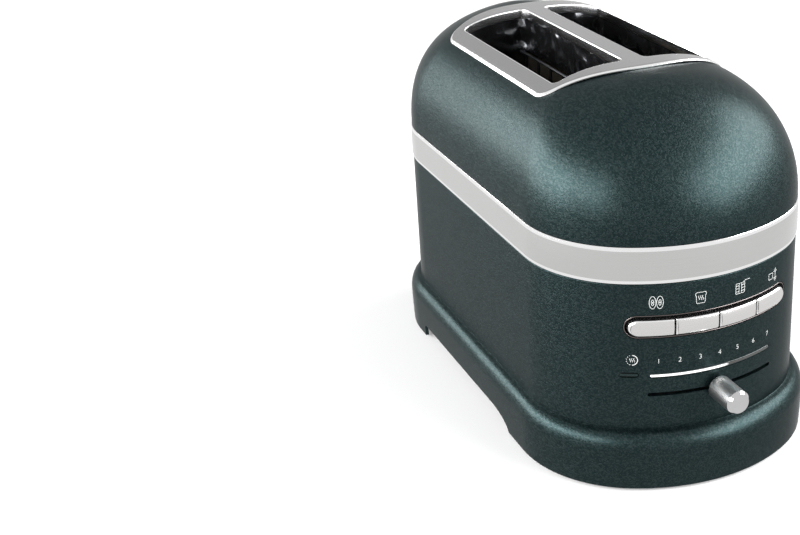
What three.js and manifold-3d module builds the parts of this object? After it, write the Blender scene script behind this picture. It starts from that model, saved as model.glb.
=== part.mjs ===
// Automatic two-slice toaster, in millimetres, +Z up, with its control panel facing -Y.
// The origin is the centre of the overall outline, on the surface that the feet stand on.
import * as THREE from "three";
import { mergeVertices } from "three/addons/utils/BufferGeometryUtils.js";
import Module from "manifold-3d";

const wasm = await Module();
wasm.setup();

// Overall form. The plan has straight sides, a bowed front and back, and round corners between.
const overallHeight = 218;
const bodyHalfWidth = 82;
const bodyFront = 158.5;
const bodyBack = 150;
const cornerInset = 16;
const bowShare = 1.5;
const wall = 2.2;
const clearance = 0.3;
const overrun = 2;

// Trim band
const bandBottom = 123;
const bandHeight = 21.3;
const bandProud = 0.6;
const bandChamfer = 1.2;
const tongueThickness = 1.4;
const tongueShare = 1 / 18;
const tongueClearance = 0.6;

// Upper shell. Its sections narrow as a superellipse, and its ends draw in to a short ridge.
const ridgeFront = 95;
const ridgeBack = 100;
const sidePower = 2.79;
const risePower = 2.25;
const endPower = 1.73;
const frontRisePower = 2.4;
const backRisePower = 2.85;

// Foot flare of the lower housing
const floorGap = 1.5;
const flareTop = 50;
const flareShoulder = 36;
const flareSide = 6.5;
const flareEnd = 8.6;
const flareTuckShare = 0.12;
const archHeight = 7.5;
const archFront = 70;
const archBack = 72;
const archFrontRun = 26;
const archBackRun = 3;

// Slot trim and the liners below it
const trimMargin = 25;
const trimFrontMargin = 2;
const trimBackMargin = 6;
const trimFrontBow = 14.5;
const trimBackBow = 12;
const trimCorner = 8;
const trimThickness = 1.2;
const slotInner = 6.6;
const slotMargin = 7.6;
const slotInset = 4;
const slotCorner = 4;
const lipThickness = 1;
const lipDepth = 4;
const linerThickness = 0.8;
const linerShare = 0.64534;

// Base plate, its feet, screws and cord grommet
const baseBottom = 8;
const baseThickness = 3;
const footRadius = 8;
const footStemRadius = 3;
const footMargin = 24;
const footFrontMargin = 46.5;
const footBackMargin = 46;
const screwMargin = 6;
const screwFrontMargin = 4;
const screwBackMargin = 11;
const screwRadius = 1.7;
const screwHeadRadius = 3.5;
const screwHeadHeight = 1.8;
const screwLength = 18;
const bossRadius = 4.5;
const bossHeight = 21;
const bossWeb = 2;
const ventWidth = 4;
const ventLength = 26;
const ventPitch = 18;
const ventX = 28;
const cleatFrontMargin = 60.5;
const cleatBackMargin = 30;
const cleatHalfLength = 16;
const cleatHalfWidth = 6;
const cleatThickness = 1.6;
const cleatPostRadius = 4;
const grommetMargin = 8;
const grommetY = 26;
const grommetBore = 3.75;
const grommetRadius = 6.2;
const grommetFlange = 1.4;
const grommetFlangeRadius = 7.6;

// Crumb tray, drawn out of the back
const trayMargin = 30.5;
const trayFrontMargin = 2;
const trayBackMargin = 23;
const trayDepth = 7.4;
const traySheet = 0.9;
const trayOpeningMargin = 0.5;
const handleHeight = 8.6;
const handleTongueMargin = 11.5;
const handleTongueThickness = 2;

// Toasting chamber
const plateThickness = 1.2;
const chamberFrontMargin = 92.5;
const chamberBackMargin = 73;
const plateMargin = 1.5;
const reflectorMargin = 3.5;
const reflectorThickness = 1;
const reflectorFlange = 5;
const heaterMargin = 9;
const heaterInnerX = 4;
const heaterThickness = 0.8;
const heaterBottom = 24;
const heaterDrop = 3;
const ribbonHeight = 1.6;
const ribbonProud = 0.5;
const ribbonPitch = 16;
const ribbonMargin = 6;

// Bread guides and carriers
const wireRadius = 1;
const uprightRadius = 0.9;
const guideInnerX = 12;
const guideMargin = 3.4;
const guideBottom = 32;
const guideRise = 1;
const guideInset = 9;
const guideWireCount = 7;
const carrierLowered = 47;
const carrierRailHeight = 5;
const carrierPlay = 6;
const carrierBarCount = 6;
const carrierTabHeight = 12;
const carrierTabReach = 2.4;
const carrierSlotHalfWidth = 1.6;
const liftTravelShare = 25 / 48;

// Lift bracket, its guide rods, rack and drive
const bracketThickness = 1.5;
const bracketMargin = 6;
const bracketHeight = 18;
const rodOffset = 4;
const rodMargin = 10;
const rodRadius = 2.5;
const rodRise = 34;
const bushRadius = 4.5;
const bushHeight = 26;
const earHeight = 2;
const earHalfWidth = 6;
const earDrop = 3;
const rodSocketHeight = 6;
const toothModule = 1.25;
const pinionTeeth = 14;
const pressureAngle = THREE.MathUtils.degToRad(20);
const addendumShare = 0.8;
const dedendumShare = 1.15;
const backlash = 0.4;
const rackSpareTeeth = 3;
const rackTeethBelow = 2.5;
const rackBack = 4;
const gearWidth = 7;
const pinionDrop = 4;
const pinionShaftRadius = 1.5;
const bridgeReach = 16.5;
const bridgeThickness = 1.5;
const bridgeMargin = 3;
const bridgeHeight = 24;
const bridgeFoot = 8;
const motorRadius = 13.5;
const motorLength = 34;
const motorCapRadius = 6;
const motorCapLength = 4;

// Control panel. Its pieces lie on the front bow's own circle.
const buttonRowDrop = 25;
const buttonRowOverhang = 2.5;
const buttonMargin = 2.3;
const buttonGap = 0.8;
const buttonProud = 1.3;
const buttonCrown = 0.4;
const buttonBevel = 1.3;
const buttonDepth = 3;
const buttonTravel = 2;
const buttonCount = 4;
const buttonEndTrim = 1.8;
const recessHeight = 14;
const bezelRim = 1.2;
const bezelFloor = 1.5;
const bezelDepth = 7;
const bezelFlange = 3;
const stemHalfWidth = 3;
const stemHalfHeight = 2;
const stemPlay = 0.6;
const panelBoardGap = 2.7;
const panelBoardThickness = 1.6;
const panelBoardMargin = 6.5;
const panelBoardDrop = 4.3;
const panelBoardRise = 10;
const switchHeight = 1.7;
const switchHalfWidth = 3;
const postRadius = 2;
const lightDrop = 29.7;
const lightMargin = 13;
const lightHeight = 2.2;
const lightFlange = 1.5;
const ledHalfWidth = 1.5;
const ledHeight = 1.4;
const numeralCount = 7;
const indicatorOffset = 10.5;
const indicatorRise = 0.7;
const indicatorHalfLength = 4.6;
const indicatorHeight = 3.4;
const sliderDrop = 11.5;
const sliderStep = THREE.MathUtils.degToRad(6.8);
const slitMargin = 11.5;
const slitHeight = 2.2;
const tabHeight = 1.5;
const tabHalfWidth = 2.5;
const tabReach = 9;
const knobRadius = 5.8;
const knobLength = 22;
const knobStandoff = 1;
const knobChamfer = 0.8;
const carriageHalfWidth = 5;
const carriageHeight = 11;
const carriageInner = 9.2;
const trackThickness = 3.5;
const trackMargin = 7;
const trackStop = 4;

// Main control board, on edge in two posts of the base plate
const boardFrontMargin = 30.5;
const boardMargin = 2;
const boardHeight = 77;
const boardThickness = 1.6;
const relayWidth = 20;
const relayDepth = 14;
const relayHeight = 16;
const relayBottomShare = 0.3;
const capacitorRadius = 6;
const capacitorHeight = 15;
const boardPostDepth = 4;
const boardPostHeight = 14;
const boardPostGrip = 3;

// Facet counts
const bowSteps = 10;
const cornerSteps = 7;
const domeSteps = 12;
const flareSteps = 5;
const tuckSteps = 3;
const roundSteps = 14;
const pinSteps = 8;
const wireSides = 6;
const turnSteps = 96;
const filletSteps = 3;
const flankSteps = 2;
const ridgeShare = 0.978;

// Widths that follow the body's, from the slots outwards
const cornerRadius = bodyHalfWidth - cornerInset;
const bowRadius = cornerRadius * bowShare;
const trimHalfWidth = bodyHalfWidth - trimMargin;
const slotOuter = trimHalfWidth - slotMargin;
const guideOuterX = slotOuter - guideMargin;
const heaterOuterX = guideOuterX + heaterMargin;
const reflectorX = heaterOuterX + reflectorMargin;
const plateHalfWidth = reflectorX + plateMargin;
const carrierX = (slotInner + slotOuter) / 2;
const carrierHalfWidth = (guideOuterX - guideInnerX) / 2 - carrierPlay;
const rodX = carrierX + rodOffset;
const bracketHalfWidth = rodX + bracketMargin;
const bridgeHalfWidth = plateHalfWidth - bridgeFoot - bridgeMargin;
const footX = bodyHalfWidth - footMargin;
const screwX = bodyHalfWidth - screwMargin;
const grommetX = plateHalfWidth + grommetMargin;
const trayHalfWidth = bodyHalfWidth - trayMargin;
const handleTongueWidth = trayHalfWidth - handleTongueMargin;
const bowHalfLength = (cornerInset * bowShare) / (bowShare - 1);
const buttonRowHalfLength = bowHalfLength + buttonRowOverhang;
const buttonEndX = buttonRowHalfLength - buttonEndTrim;
const recessHalfLength = buttonEndX + buttonMargin;
const buttonHeight = recessHeight - 2 * buttonMargin;
const lightHalfLength = buttonRowHalfLength - lightMargin;
const indicatorX = lightHalfLength + indicatorOffset;
const slitHalfLength = buttonRowHalfLength - slitMargin;
const trackHalfLength = slitHalfLength + trackMargin;
const panelBoardHalfWidth = buttonRowHalfLength - panelBoardMargin;
const boardHalfWidth = panelBoardHalfWidth - boardMargin;

// Lengths that follow the body's, from its ends inwards
const panelCentreY = bowRadius - bodyFront;
const chamberFront = bodyFront - chamberFrontMargin;
const chamberBack = bodyBack - chamberBackMargin;
const chamberFrontFace = chamberFront + plateThickness;
const chamberBackFace = chamberBack + plateThickness;
const slotFront = chamberFront - slotInset;
const slotBack = chamberBack - slotInset;
const trimFront = slotFront + trimFrontMargin;
const trimBack = slotBack + trimBackMargin;
const guideFront = chamberFront - guideInset;
const guideBack = chamberBack - guideInset;
const rodY = chamberFront + rodMargin;
const bridgeFace = chamberFront + bridgeReach;
const bracketFace = chamberFrontFace + carrierTabReach + clearance;
const screwFront = chamberFront - screwFrontMargin;
const screwBack = chamberBack - screwBackMargin;
const footFront = bodyFront - footFrontMargin;
const footBack = bodyBack - footBackMargin;
const cleatFront = bodyFront - cleatFrontMargin;
const cleatBack = bodyBack - cleatBackMargin;
const trayFront = chamberFront - trayFrontMargin;
const trayBack = bodyBack - trayBackMargin;
const boardY = bodyFront - boardFrontMargin;
const panelBoardReach = Math.sqrt((bowRadius - bezelDepth) ** 2 - panelBoardHalfWidth ** 2);
const panelBoardY = panelBoardReach - panelCentreY - panelBoardGap - panelBoardThickness;

// Heights that follow the body's
const bandTop = bandBottom + bandHeight;
const shellBottom = bandTop + clearance;
const shellTop = overallHeight - clearance - trimThickness;
const baseTop = baseBottom + baseThickness;
const trayBottom = baseTop + clearance;
const linerBottom = shellBottom + (shellTop - shellBottom) * linerShare;
const tongueHeight = (shellTop - shellBottom) * tongueShare;
const heaterTop = linerBottom - heaterDrop;
const guideTop = linerBottom + guideRise;
const liftTravel = (linerBottom - carrierLowered) * liftTravelShare;
const carrierTop = carrierLowered + liftTravel;
const rodTop = carrierTop + rodRise;
const boardTop = baseTop + boardHeight;
const buttonRowZ = bandBottom - buttonRowDrop;
const lightZ = buttonRowZ - lightDrop;
const indicatorZ = lightZ + indicatorRise;
const sliderZ = lightZ - sliderDrop;
const panelBoardBottom = lightZ - panelBoardDrop;
const panelBoardTop = buttonRowZ + panelBoardRise;
const pitchRadius = (toothModule * pinionTeeth) / 2;
const pinionHeight = carrierTop - pinionDrop;
const rackPitch = toothModule * Math.PI;
const rackTeeth = Math.ceil(liftTravel / rackPitch) + rackSpareTeeth;
const bracketMiddle = carrierTop - bracketHeight / 2;
const sides = [["left", -1], ["right", 1]];

// A closed geometry becomes a solid that can be joined and cut.
function solid(geometry) {
  geometry.deleteAttribute("normal");
  geometry.deleteAttribute("uv");
  const merged = mergeVertices(geometry);
  return new wasm.Manifold(new wasm.Mesh({
    numProp: 3,
    vertProperties: new Float32Array(merged.attributes.position.array),
    triVerts: new Uint32Array(merged.index.array),
  }));
}

function join(...pieces) {
  return pieces.flat().reduce((whole, piece) => whole.add(piece));
}

function cut(piece, ...tools) {
  return tools.flat().reduce((rest, tool) => rest.subtract(tool), piece);
}

function block([x0, y0, z0], [x1, y1, z1]) {
  const geometry = new THREE.BoxGeometry(Math.abs(x1 - x0), Math.abs(y1 - y0), Math.abs(z1 - z0));
  return solid(geometry.translate((x0 + x1) / 2, (y0 + y1) / 2, (z0 + z1) / 2));
}

// A round bar between two points.
function bar(start, end, radius, steps = roundSteps) {
  const from = new THREE.Vector3(...start);
  const along = new THREE.Vector3(...end).sub(from);
  const geometry = new THREE.CylinderGeometry(radius, radius, along.length(), steps);
  geometry.translate(0, along.length() / 2, 0);
  const up = new THREE.Vector3(0, 1, 0);
  geometry.applyQuaternion(new THREE.Quaternion().setFromUnitVectors(up, along.normalize()));
  return solid(geometry.translate(from.x, from.y, from.z));
}

// A closed profile of [radius, height] points, turned about a vertical axis at [x, y].
function turned(profile, [x, y], steps = roundSteps) {
  const points = [...profile, profile[0]].map(([radius, height]) => new THREE.Vector2(radius, height));
  const geometry = new THREE.LatheGeometry(points, steps);
  return solid(geometry.rotateX(Math.PI / 2).translate(x, y, 0));
}

function drawn(points) {
  return new THREE.Shape(points.map(([a, b]) => new THREE.Vector2(a, b)));
}

function extruded(shape, depth) {
  return new THREE.ExtrudeGeometry(shape, { depth, bevelEnabled: false, curveSegments: filletSteps });
}

// A shape drawn in plan, standing from one height to another.
function column(shape, from, to) {
  return solid(extruded(shape, to - from).translate(0, 0, from));
}

// A shape drawn in X and Z, running along Y.
function lengthwise(shape, from, to) {
  return solid(extruded(shape, to - from).rotateX(Math.PI / 2).translate(0, to, 0));
}

// A shape drawn in Y and Z, running along X.
function crosswise(shape, from, to) {
  const turn = new THREE.Matrix4().makeBasis(
    new THREE.Vector3(0, 1, 0), new THREE.Vector3(0, 0, 1), new THREE.Vector3(1, 0, 0));
  return solid(extruded(shape, to - from).applyMatrix4(turn).translate(from, 0, 0));
}

// Rings of equal counts, joined in turn and closed at both ends.
function loft(rings) {
  const count = rings[0].length;
  const positions = rings.flat(2);
  const index = [];
  for (let level = 0; level + 1 < rings.length; level++) {
    for (let i = 0; i < count; i++) {
      const next = (i + 1) % count;
      const low = level * count;
      const high = low + count;
      index.push(low + i, low + next, high + next, low + i, high + next, high + i);
    }
  }
  const top = (rings.length - 1) * count;
  for (let i = 1; i + 1 < count; i++) {
    index.push(0, i + 1, i, top, top + i, top + i + 1);
  }
  const geometry = new THREE.BufferGeometry();
  geometry.setAttribute("position", new THREE.Float32BufferAttribute(positions, 3));
  geometry.setIndex(index);
  return solid(geometry);
}

function arc(centre, radius, from, to, steps) {
  return Array.from({ length: steps + 1 }, (_, i) => {
    const angle = from + ((to - from) * i) / steps;
    return [centre[0] + radius * Math.cos(angle), centre[1] + radius * Math.sin(angle)];
  });
}

// The plan outline, grown by one amount at the sides and another at the ends.
function planOutline(sideGrowth, endGrowth) {
  const bow = bowRadius + sideGrowth;
  const corner = cornerRadius + sideGrowth;
  const cornerX = bodyHalfWidth - cornerRadius;
  const drop = Math.sqrt((bow - corner) ** 2 - cornerX ** 2);
  const spread = Math.atan2(cornerX, drop);
  const half = [];
  for (const [reach, direction] of [[bodyFront + endGrowth, -1], [bodyBack + endGrowth, 1]]) {
    const bowCentre = [0, direction * (reach - bow)];
    const cornerCentre = [cornerX, bowCentre[1] + direction * drop];
    const middle = (direction * Math.PI) / 2;
    const edge = direction * (Math.PI / 2 - spread);
    const bowArc = arc(bowCentre, bow, middle, edge, bowSteps / 2).slice(0, -1);
    const run = [...bowArc, ...arc(cornerCentre, corner, edge, 0, cornerSteps)];
    half.push(direction < 0 ? run : run.reverse());
  }
  const right = half.flat();
  const left = right.slice(1, -1).reverse().map(([x, y]) => [-x, y]);
  return [...right, ...left];
}

function ringAt(outline, z) {
  return outline.map(([x, y]) => [x, y, z]);
}

function flareShare(z) {
  if (z >= flareTop) return 0;
  if (z >= flareShoulder) {
    return (1 + Math.cos((Math.PI * (z - flareShoulder)) / (flareTop - flareShoulder))) / 2;
  }
  return 1 - flareTuckShare * ((flareShoulder - z) / flareShoulder) ** 2;
}

// The lower housing's outside, drawn in by an inset, between two heights.
function housingForm(inset, from, to) {
  const heights = [];
  for (let i = 0; i < tuckSteps; i++) heights.push(floorGap + ((flareShoulder - floorGap) * i) / tuckSteps);
  for (let i = 0; i <= flareSteps; i++) {
    heights.push(flareShoulder + ((flareTop - flareShoulder) * i) / flareSteps);
  }
  return loft([from, ...heights.filter((z) => z > from && z < to), to].map((z) => {
    const share = flareShare(z);
    return ringAt(planOutline(flareSide * share - inset, flareEnd * share - inset), z);
  }));
}

// Where a section of the dome lies: its width share and height share.
function domeShares(step, steps) {
  const angle = ((step / steps) * ridgeShare * Math.PI) / 2;
  return [Math.cos(angle) ** (2 / sidePower), Math.sin(angle) ** (2 / risePower)];
}

function domeForm(inset, steps) {
  const outline = planOutline(-inset, -inset);
  const rise = shellTop - inset - shellBottom;
  const reach = (end, ridge, power, share) => {
    return (ridge + (end - ridge) * (1 - share ** power) ** (1 / endPower)) / end;
  };
  const rings = Array.from({ length: steps + 1 }, (_, step) => {
    const [width, height] = domeShares(step, steps);
    const front = reach(bodyFront - inset, ridgeFront - inset, frontRisePower, height);
    const back = reach(bodyBack - inset, ridgeBack - inset, backRisePower, height);
    return outline.map(([x, y]) => [x * width, y * (y < 0 ? front : back), shellBottom + rise * height]);
  });
  return loft(inset > 0 ? [ringAt(outline, shellBottom - overrun), ...rings] : rings);
}

// An arched slab that follows the dome across its width, between two lifts above it.
function archedSlab(halfWidth, lowLift, highLift, from, to) {
  const rise = shellTop - shellBottom;
  const right = [];
  for (let step = domeSteps; step > 0; step--) {
    const [width, height] = domeShares(step, domeSteps);
    right.push([bodyHalfWidth * width, shellBottom + rise * height]);
  }
  const outer = right.findIndex(([x]) => x > halfWidth);
  const kept = right.slice(0, outer + 1);
  const arch = [...kept.map(([x, z]) => [-x, z]).reverse(), ...kept];
  const low = arch.map(([x, z]) => [x, z + lowLift]);
  const high = arch.map(([x, z]) => [x, z + highLift]).reverse();
  return lengthwise(drawn([...low, ...high]), from, to);
}

function roundedRectangle(x0, x1, y0, y1, radius) {
  const shape = new THREE.Shape();
  shape.moveTo(x0 + radius, y0);
  shape.lineTo(x1 - radius, y0);
  shape.absarc(x1 - radius, y0 + radius, radius, -Math.PI / 2, 0);
  shape.lineTo(x1, y1 - radius);
  shape.absarc(x1 - radius, y1 - radius, radius, 0, Math.PI / 2);
  shape.lineTo(x0 + radius, y1);
  shape.absarc(x0 + radius, y1 - radius, radius, Math.PI / 2, Math.PI);
  shape.lineTo(x0, y0 + radius);
  shape.absarc(x0 + radius, y0 + radius, radius, Math.PI, Math.PI * 1.5);
  return shape;
}

// A bar shape with round ends, drawn in X and Z.
function stadium(x, z, halfLength, height) {
  const radius = height / 2;
  const shape = new THREE.Shape();
  shape.absarc(x + halfLength - radius, z, radius, -Math.PI / 2, Math.PI / 2);
  shape.absarc(x - halfLength + radius, z, radius, Math.PI / 2, Math.PI * 1.5);
  return shape;
}

// A ring about the front bow's centre, between two depths below the panel's face.
function panelRing(deep, shallow, z0, z1) {
  const profile = [
    [bowRadius - deep, z0], [bowRadius - shallow, z0], [bowRadius - shallow, z1], [bowRadius - deep, z1]];
  return turned(profile, [0, panelCentreY], turnSteps);
}

// A skin that follows the housing's wall, between two depths below its face.
function panelSkin(deep, shallow, z0, z1) {
  return cut(housingForm(shallow, z0, z1), housingForm(deep, z0 - overrun, z1 + overrun));
}

// Everything in front of the panel's centre, within a shape seen from the front.
function panelWindow(shape) {
  return lengthwise(shape, -bodyFront - knobLength, panelCentreY);
}

function panelBox(x0, x1, z0, z1) {
  return block([x0, -bodyFront - knobLength, z0], [x1, panelCentreY, z1]);
}

function slotColumn(side, growth, from, to) {
  const x0 = slotInner - growth;
  const x1 = slotOuter + growth;
  const ends = side < 0 ? [-x1, -x0] : [x0, x1];
  const radius = slotCorner + growth;
  return column(roundedRectangle(...ends, -slotFront - growth, slotBack + growth, radius), from, to);
}

function upperShell() {
  const side = slotOuter + lipThickness + 2 * clearance;
  const front = slotFront + lipThickness + 2 * clearance;
  const back = slotBack + lipThickness + 2 * clearance;
  const opening = column(roundedRectangle(-side, side, -front, back, slotCorner), shellBottom, overallHeight);
  return cut(domeForm(0, domeSteps), domeForm(wall, domeSteps / 2), opening);
}

function trimBand() {
  const level = (growth, z) => ringAt(planOutline(growth, growth), z);
  const edge = bandProud - bandChamfer / 2;
  const outer = loft([
    level(edge, bandBottom + clearance), level(bandProud, bandBottom + clearance + bandChamfer / 2),
    level(bandProud, bandTop - bandChamfer / 2), level(edge, bandTop)]);
  const tongue = -wall - tongueClearance;
  const tongueLow = bandBottom - tongueHeight;
  const tongueHigh = bandTop + tongueHeight;
  const locator = loft([level(tongue, tongueLow), level(tongue, tongueHigh)]);
  const bore = tongue - tongueThickness;
  const core = loft([level(bore, tongueLow - overrun), level(bore, tongueHigh + overrun)]);
  return cut(join(outer, locator), core);
}

function slotTrim() {
  const front = trimFront + trimFrontBow;
  const back = trimBack + trimBackBow;
  const bowed = (end, bow, direction) => {
    const radius = (trimHalfWidth ** 2 + bow ** 2) / (2 * bow);
    const spread = Math.asin(trimHalfWidth / radius);
    const middle = (direction * Math.PI) / 2;
    return arc([0, direction * (end - radius)], radius, middle - spread, middle + spread, bowSteps);
  };
  const high = clearance + trimThickness;
  const top = overallHeight + overrun;
  const radius = trimFrontBow + trimCorner;
  const bow = column(
    drawn([...bowed(front, trimFrontBow, -1), ...bowed(back, trimBackBow, 1)]), shellBottom, top);
  const softened = column(
    roundedRectangle(-trimHalfWidth, trimHalfWidth, -front, back, radius), shellBottom, top);
  const plate = archedSlab(trimHalfWidth, clearance, high, -front - overrun, back + overrun);
  const lipSlab = archedSlab(trimHalfWidth, -lipDepth, high, -front, back);
  const lips = sides.map(([, side]) => slotColumn(side, lipThickness, shellBottom, top).intersect(lipSlab));
  const slots = sides.map(([, side]) => slotColumn(side, 0, shellBottom, top));
  return cut(join(plate.intersect(bow).intersect(softened), lips), slots);
}

function slotLiner(side) {
  const below = archedSlab(
    trimHalfWidth, shellBottom - shellTop, -lipDepth - clearance, -trimFront, trimBack);
  const tube = cut(slotColumn(side, linerThickness, linerBottom, overallHeight),
    slotColumn(side, 0, linerBottom - overrun, overallHeight + overrun));
  return tube.intersect(below);
}

function archShape() {
  const fall = floorGap - overrun;
  const front = Array.from({ length: 2 * filletSteps + 1 }, (_, i) => {
    const angle = (Math.PI * i) / (4 * filletSteps);
    return [-archFront + archFrontRun * (1 - Math.cos(angle)), archHeight * Math.sin(angle)];
  });
  const corner = [archBack - archBackRun, archHeight - archBackRun];
  const back = arc(corner, archBackRun, Math.PI / 2, 0, filletSteps);
  return drawn([[-archFront, fall], ...front, ...back, [archBack, fall]]);
}

function screwPlaces() {
  return sides.flatMap(([name, side]) => [
    [`front_${name}`, side * screwX, -screwFront], [`back_${name}`, side * screwX, screwBack]]);
}

function lowerHousing() {
  const outside = housingForm(0, floorGap, bandBottom);
  const shell = cut(outside, housingForm(wall, floorGap - overrun, bandBottom + overrun));
  const bossBottom = baseTop + clearance;
  const bossTop = bossBottom + bossHeight;
  const bosses = screwPlaces().map(([, x, y]) => {
    const reach = x + Math.sign(x) * (bodyHalfWidth + flareSide - screwX);
    const web = block([x, y - bossWeb / 2, bossBottom], [reach, y + bossWeb / 2, bossTop]);
    return join(bar([x, y, bossBottom], [x, y, bossTop], bossRadius), web).intersect(outside);
  });
  const bores = screwPlaces().map(([, x, y]) => {
    return bar([x, y, bossBottom - overrun], [x, y, bossTop + overrun], screwRadius + clearance, pinSteps);
  });
  const reach = bodyHalfWidth + flareSide + overrun;
  const openings = [
    crosswise(archShape(), -reach, reach),
    panelWindow(stadium(0, buttonRowZ, recessHalfLength, recessHeight)),
    panelWindow(stadium(0, lightZ, lightHalfLength + clearance, lightHeight + 2 * clearance)),
    panelWindow(stadium(-indicatorX, indicatorZ, indicatorHalfLength + clearance,
      indicatorHeight + 2 * clearance)),
    panelWindow(stadium(0, sliderZ, slitHalfLength, slitHeight)),
    trayPassage(trayOpeningMargin, chamberBackFace),
  ];
  return cut(join(shell, bosses), bores, openings);
}

// The way that the tray slides through, wider than the tray's handle by a margin.
function trayPassage(margin, from) {
  const half = trayHalfWidth + margin;
  return block([-half, from, trayBottom - margin + clearance], [half, bodyBack + flareEnd + overrun,
    trayBottom + clearance + handleHeight + margin]);
}

function basePlate() {
  const share = flareShare(baseBottom);
  const inset = wall + clearance;
  const outline = planOutline(flareSide * share - inset, flareEnd * share - inset);
  const plate = loft([ringAt(outline, baseBottom), ringAt(outline, baseTop)]);
  const sockets = sides.map(([, side]) => {
    return bar([side * rodX, -rodY, baseBottom], [side * rodX, -rodY, baseTop + rodSocketHeight], bushRadius);
  });
  const socketBores = sides.map(([, side]) => {
    return bar([side * rodX, -rodY, baseTop], [side * rodX, -rodY, baseTop + rodSocketHeight + overrun],
      rodRadius + clearance);
  });
  const boardPosts = sides.map(([, side]) => {
    const inner = side * (boardHalfWidth - boardPostGrip);
    const outer = side * (boardHalfWidth + boardPostGrip);
    const face = -boardY + boardThickness / 2;
    const top = baseTop + boardPostHeight;
    return cut(
      block([inner, face - boardPostDepth, baseBottom], [outer, face + boardPostDepth, top]),
      block([inner - side * overrun, -boardY - clearance, baseTop],
        [side * (boardHalfWidth + clearance), -boardY + boardThickness + clearance, top + overrun]));
  });
  const cleats = [-cleatFront, cleatBack].map((y) => join(
    bar([0, y, floorGap + cleatThickness / 2], [0, y, baseBottom + baseThickness / 2], cleatPostRadius),
    block([-cleatHalfLength, y - cleatHalfWidth, floorGap],
      [cleatHalfLength, y + cleatHalfWidth, floorGap + cleatThickness])));
  const through = [baseBottom - overrun, baseTop + overrun];
  const hole = (x, y, radius) => bar([x, y, through[0]], [x, y, through[1]], radius);
  const screwHoles = screwPlaces().flatMap(([, x, y]) => [
    hole(x, y, screwRadius + clearance),
    bar([x, y, baseBottom - overrun], [x, y, baseBottom + screwHeadHeight + clearance],
      screwHeadRadius + clearance)]);
  const footHoles = footPlaces().map(([, x, y]) => hole(x, y, footStemRadius + clearance));
  const vents = [];
  for (let y = -guideFront + ventPitch / 2; y < guideBack; y += ventPitch) {
    for (const [, side] of sides) {
      const x = side * ventX;
      vents.push(block([x - ventLength / 2, y - ventWidth / 2, through[0]],
        [x + ventLength / 2, y + ventWidth / 2, through[1]]));
    }
  }
  const holes = [screwHoles, footHoles, vents, hole(grommetX, grommetY, grommetRadius + clearance)].flat();
  return cut(join(plate, sockets, boardPosts, cleats), socketBores, holes);
}

function footPlaces() {
  return sides.flatMap(([name, side]) => [
    [`front_${name}`, side * footX, -footFront], [`back_${name}`, side * footX, footBack]]);
}

function rubberFoot(x, y) {
  return join(
    bar([x, y, 0], [x, y, baseBottom - clearance], footRadius),
    bar([x, y, baseBottom - floorGap], [x, y, baseTop - clearance], footStemRadius));
}

function baseScrew(x, y) {
  const headTop = baseBottom + screwHeadHeight;
  return join(
    bar([x, y, baseBottom], [x, y, headTop], screwHeadRadius, pinSteps),
    bar([x, y, baseBottom + screwHeadHeight / 2], [x, y, headTop + screwLength], screwRadius, pinSteps));
}

function cordGrommet() {
  const low = baseBottom - clearance;
  const high = baseTop + clearance;
  return turned([
    [grommetBore, low - grommetFlange], [grommetFlangeRadius, low - grommetFlange],
    [grommetFlangeRadius, low], [grommetRadius, low], [grommetRadius, high],
    [grommetFlangeRadius, high], [grommetFlangeRadius, high + grommetFlange],
    [grommetBore, high + grommetFlange]], [grommetX, grommetY]);
}

function crumbTray() {
  const half = trayHalfWidth - traySheet;
  return cut(
    block([-trayHalfWidth, -trayFront, trayBottom], [trayHalfWidth, trayBack, trayBottom + trayDepth]),
    block([-half, traySheet - trayFront, trayBottom + traySheet],
      [half, trayBack - traySheet, trayBottom + trayDepth + overrun]));
}

function crumbTrayHandle() {
  const low = trayBottom + clearance;
  const high = low + handleHeight;
  const skin = cut(housingForm(0, low, high), housingForm(wall, low - overrun, high + overrun));
  const front = skin.intersect(
    block([-trayHalfWidth, trayBack, low], [trayHalfWidth, bodyBack + flareEnd, high]));
  const depth = bodyBack + flareEnd - wall / 2;
  const tongue = block([-handleTongueWidth, trayBack + clearance, low],
    [handleTongueWidth, depth, low + handleTongueThickness]);
  return join(front, tongue.intersect(housingForm(0, low - overrun, high)));
}

function chamberPlate(face, direction) {
  const outer = face + direction * plateThickness;
  const bottom = baseTop + clearance;
  const plate = block([-plateHalfWidth, face, bottom], [plateHalfWidth, outer, linerBottom - clearance]);
  const top = carrierTop + overrun;
  const low = carrierTop - carrierTabHeight - liftTravel - overrun;
  const slots = sides.map(([, side]) => {
    const x = side * carrierX;
    return block([x - carrierSlotHalfWidth, face - direction * overrun, low],
      [x + carrierSlotHalfWidth, outer + direction * overrun, top]);
  });
  return cut(plate, slots);
}

function chamberFrontPlate() {
  const earTop = rodTop - earDrop;
  const ears = sides.map(([, side]) => {
    const x = side * rodX;
    const ear = block([x - earHalfWidth, -rodY - earHalfWidth, earTop - earHeight],
      [x + earHalfWidth, -chamberFront - plateThickness / 2, earTop]);
    return cut(ear, bar([x, -rodY, earTop - earHeight - overrun], [x, -rodY, earTop + overrun],
      rodRadius + clearance));
  });
  return join(chamberPlate(-chamberFront, -1), ears);
}

function chamberRearPlate() {
  return cut(chamberPlate(chamberBack, 1), trayPassage(trayOpeningMargin, chamberBack - overrun));
}

function reflector(side) {
  const inner = side * (reflectorX - reflectorFlange);
  const face = side * reflectorX;
  const outer = side * (reflectorX + reflectorThickness);
  const low = baseTop + clearance;
  const high = linerBottom - clearance;
  const profile = [
    [inner, low], [outer, low], [outer, high], [inner, high], [inner, high - reflectorThickness],
    [face, high - reflectorThickness], [face, low + reflectorThickness], [inner, low + reflectorThickness]];
  const order = side < 0 ? profile.reverse() : profile;
  return lengthwise(drawn(order), -chamberFront + clearance, chamberBack - clearance);
}

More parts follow.
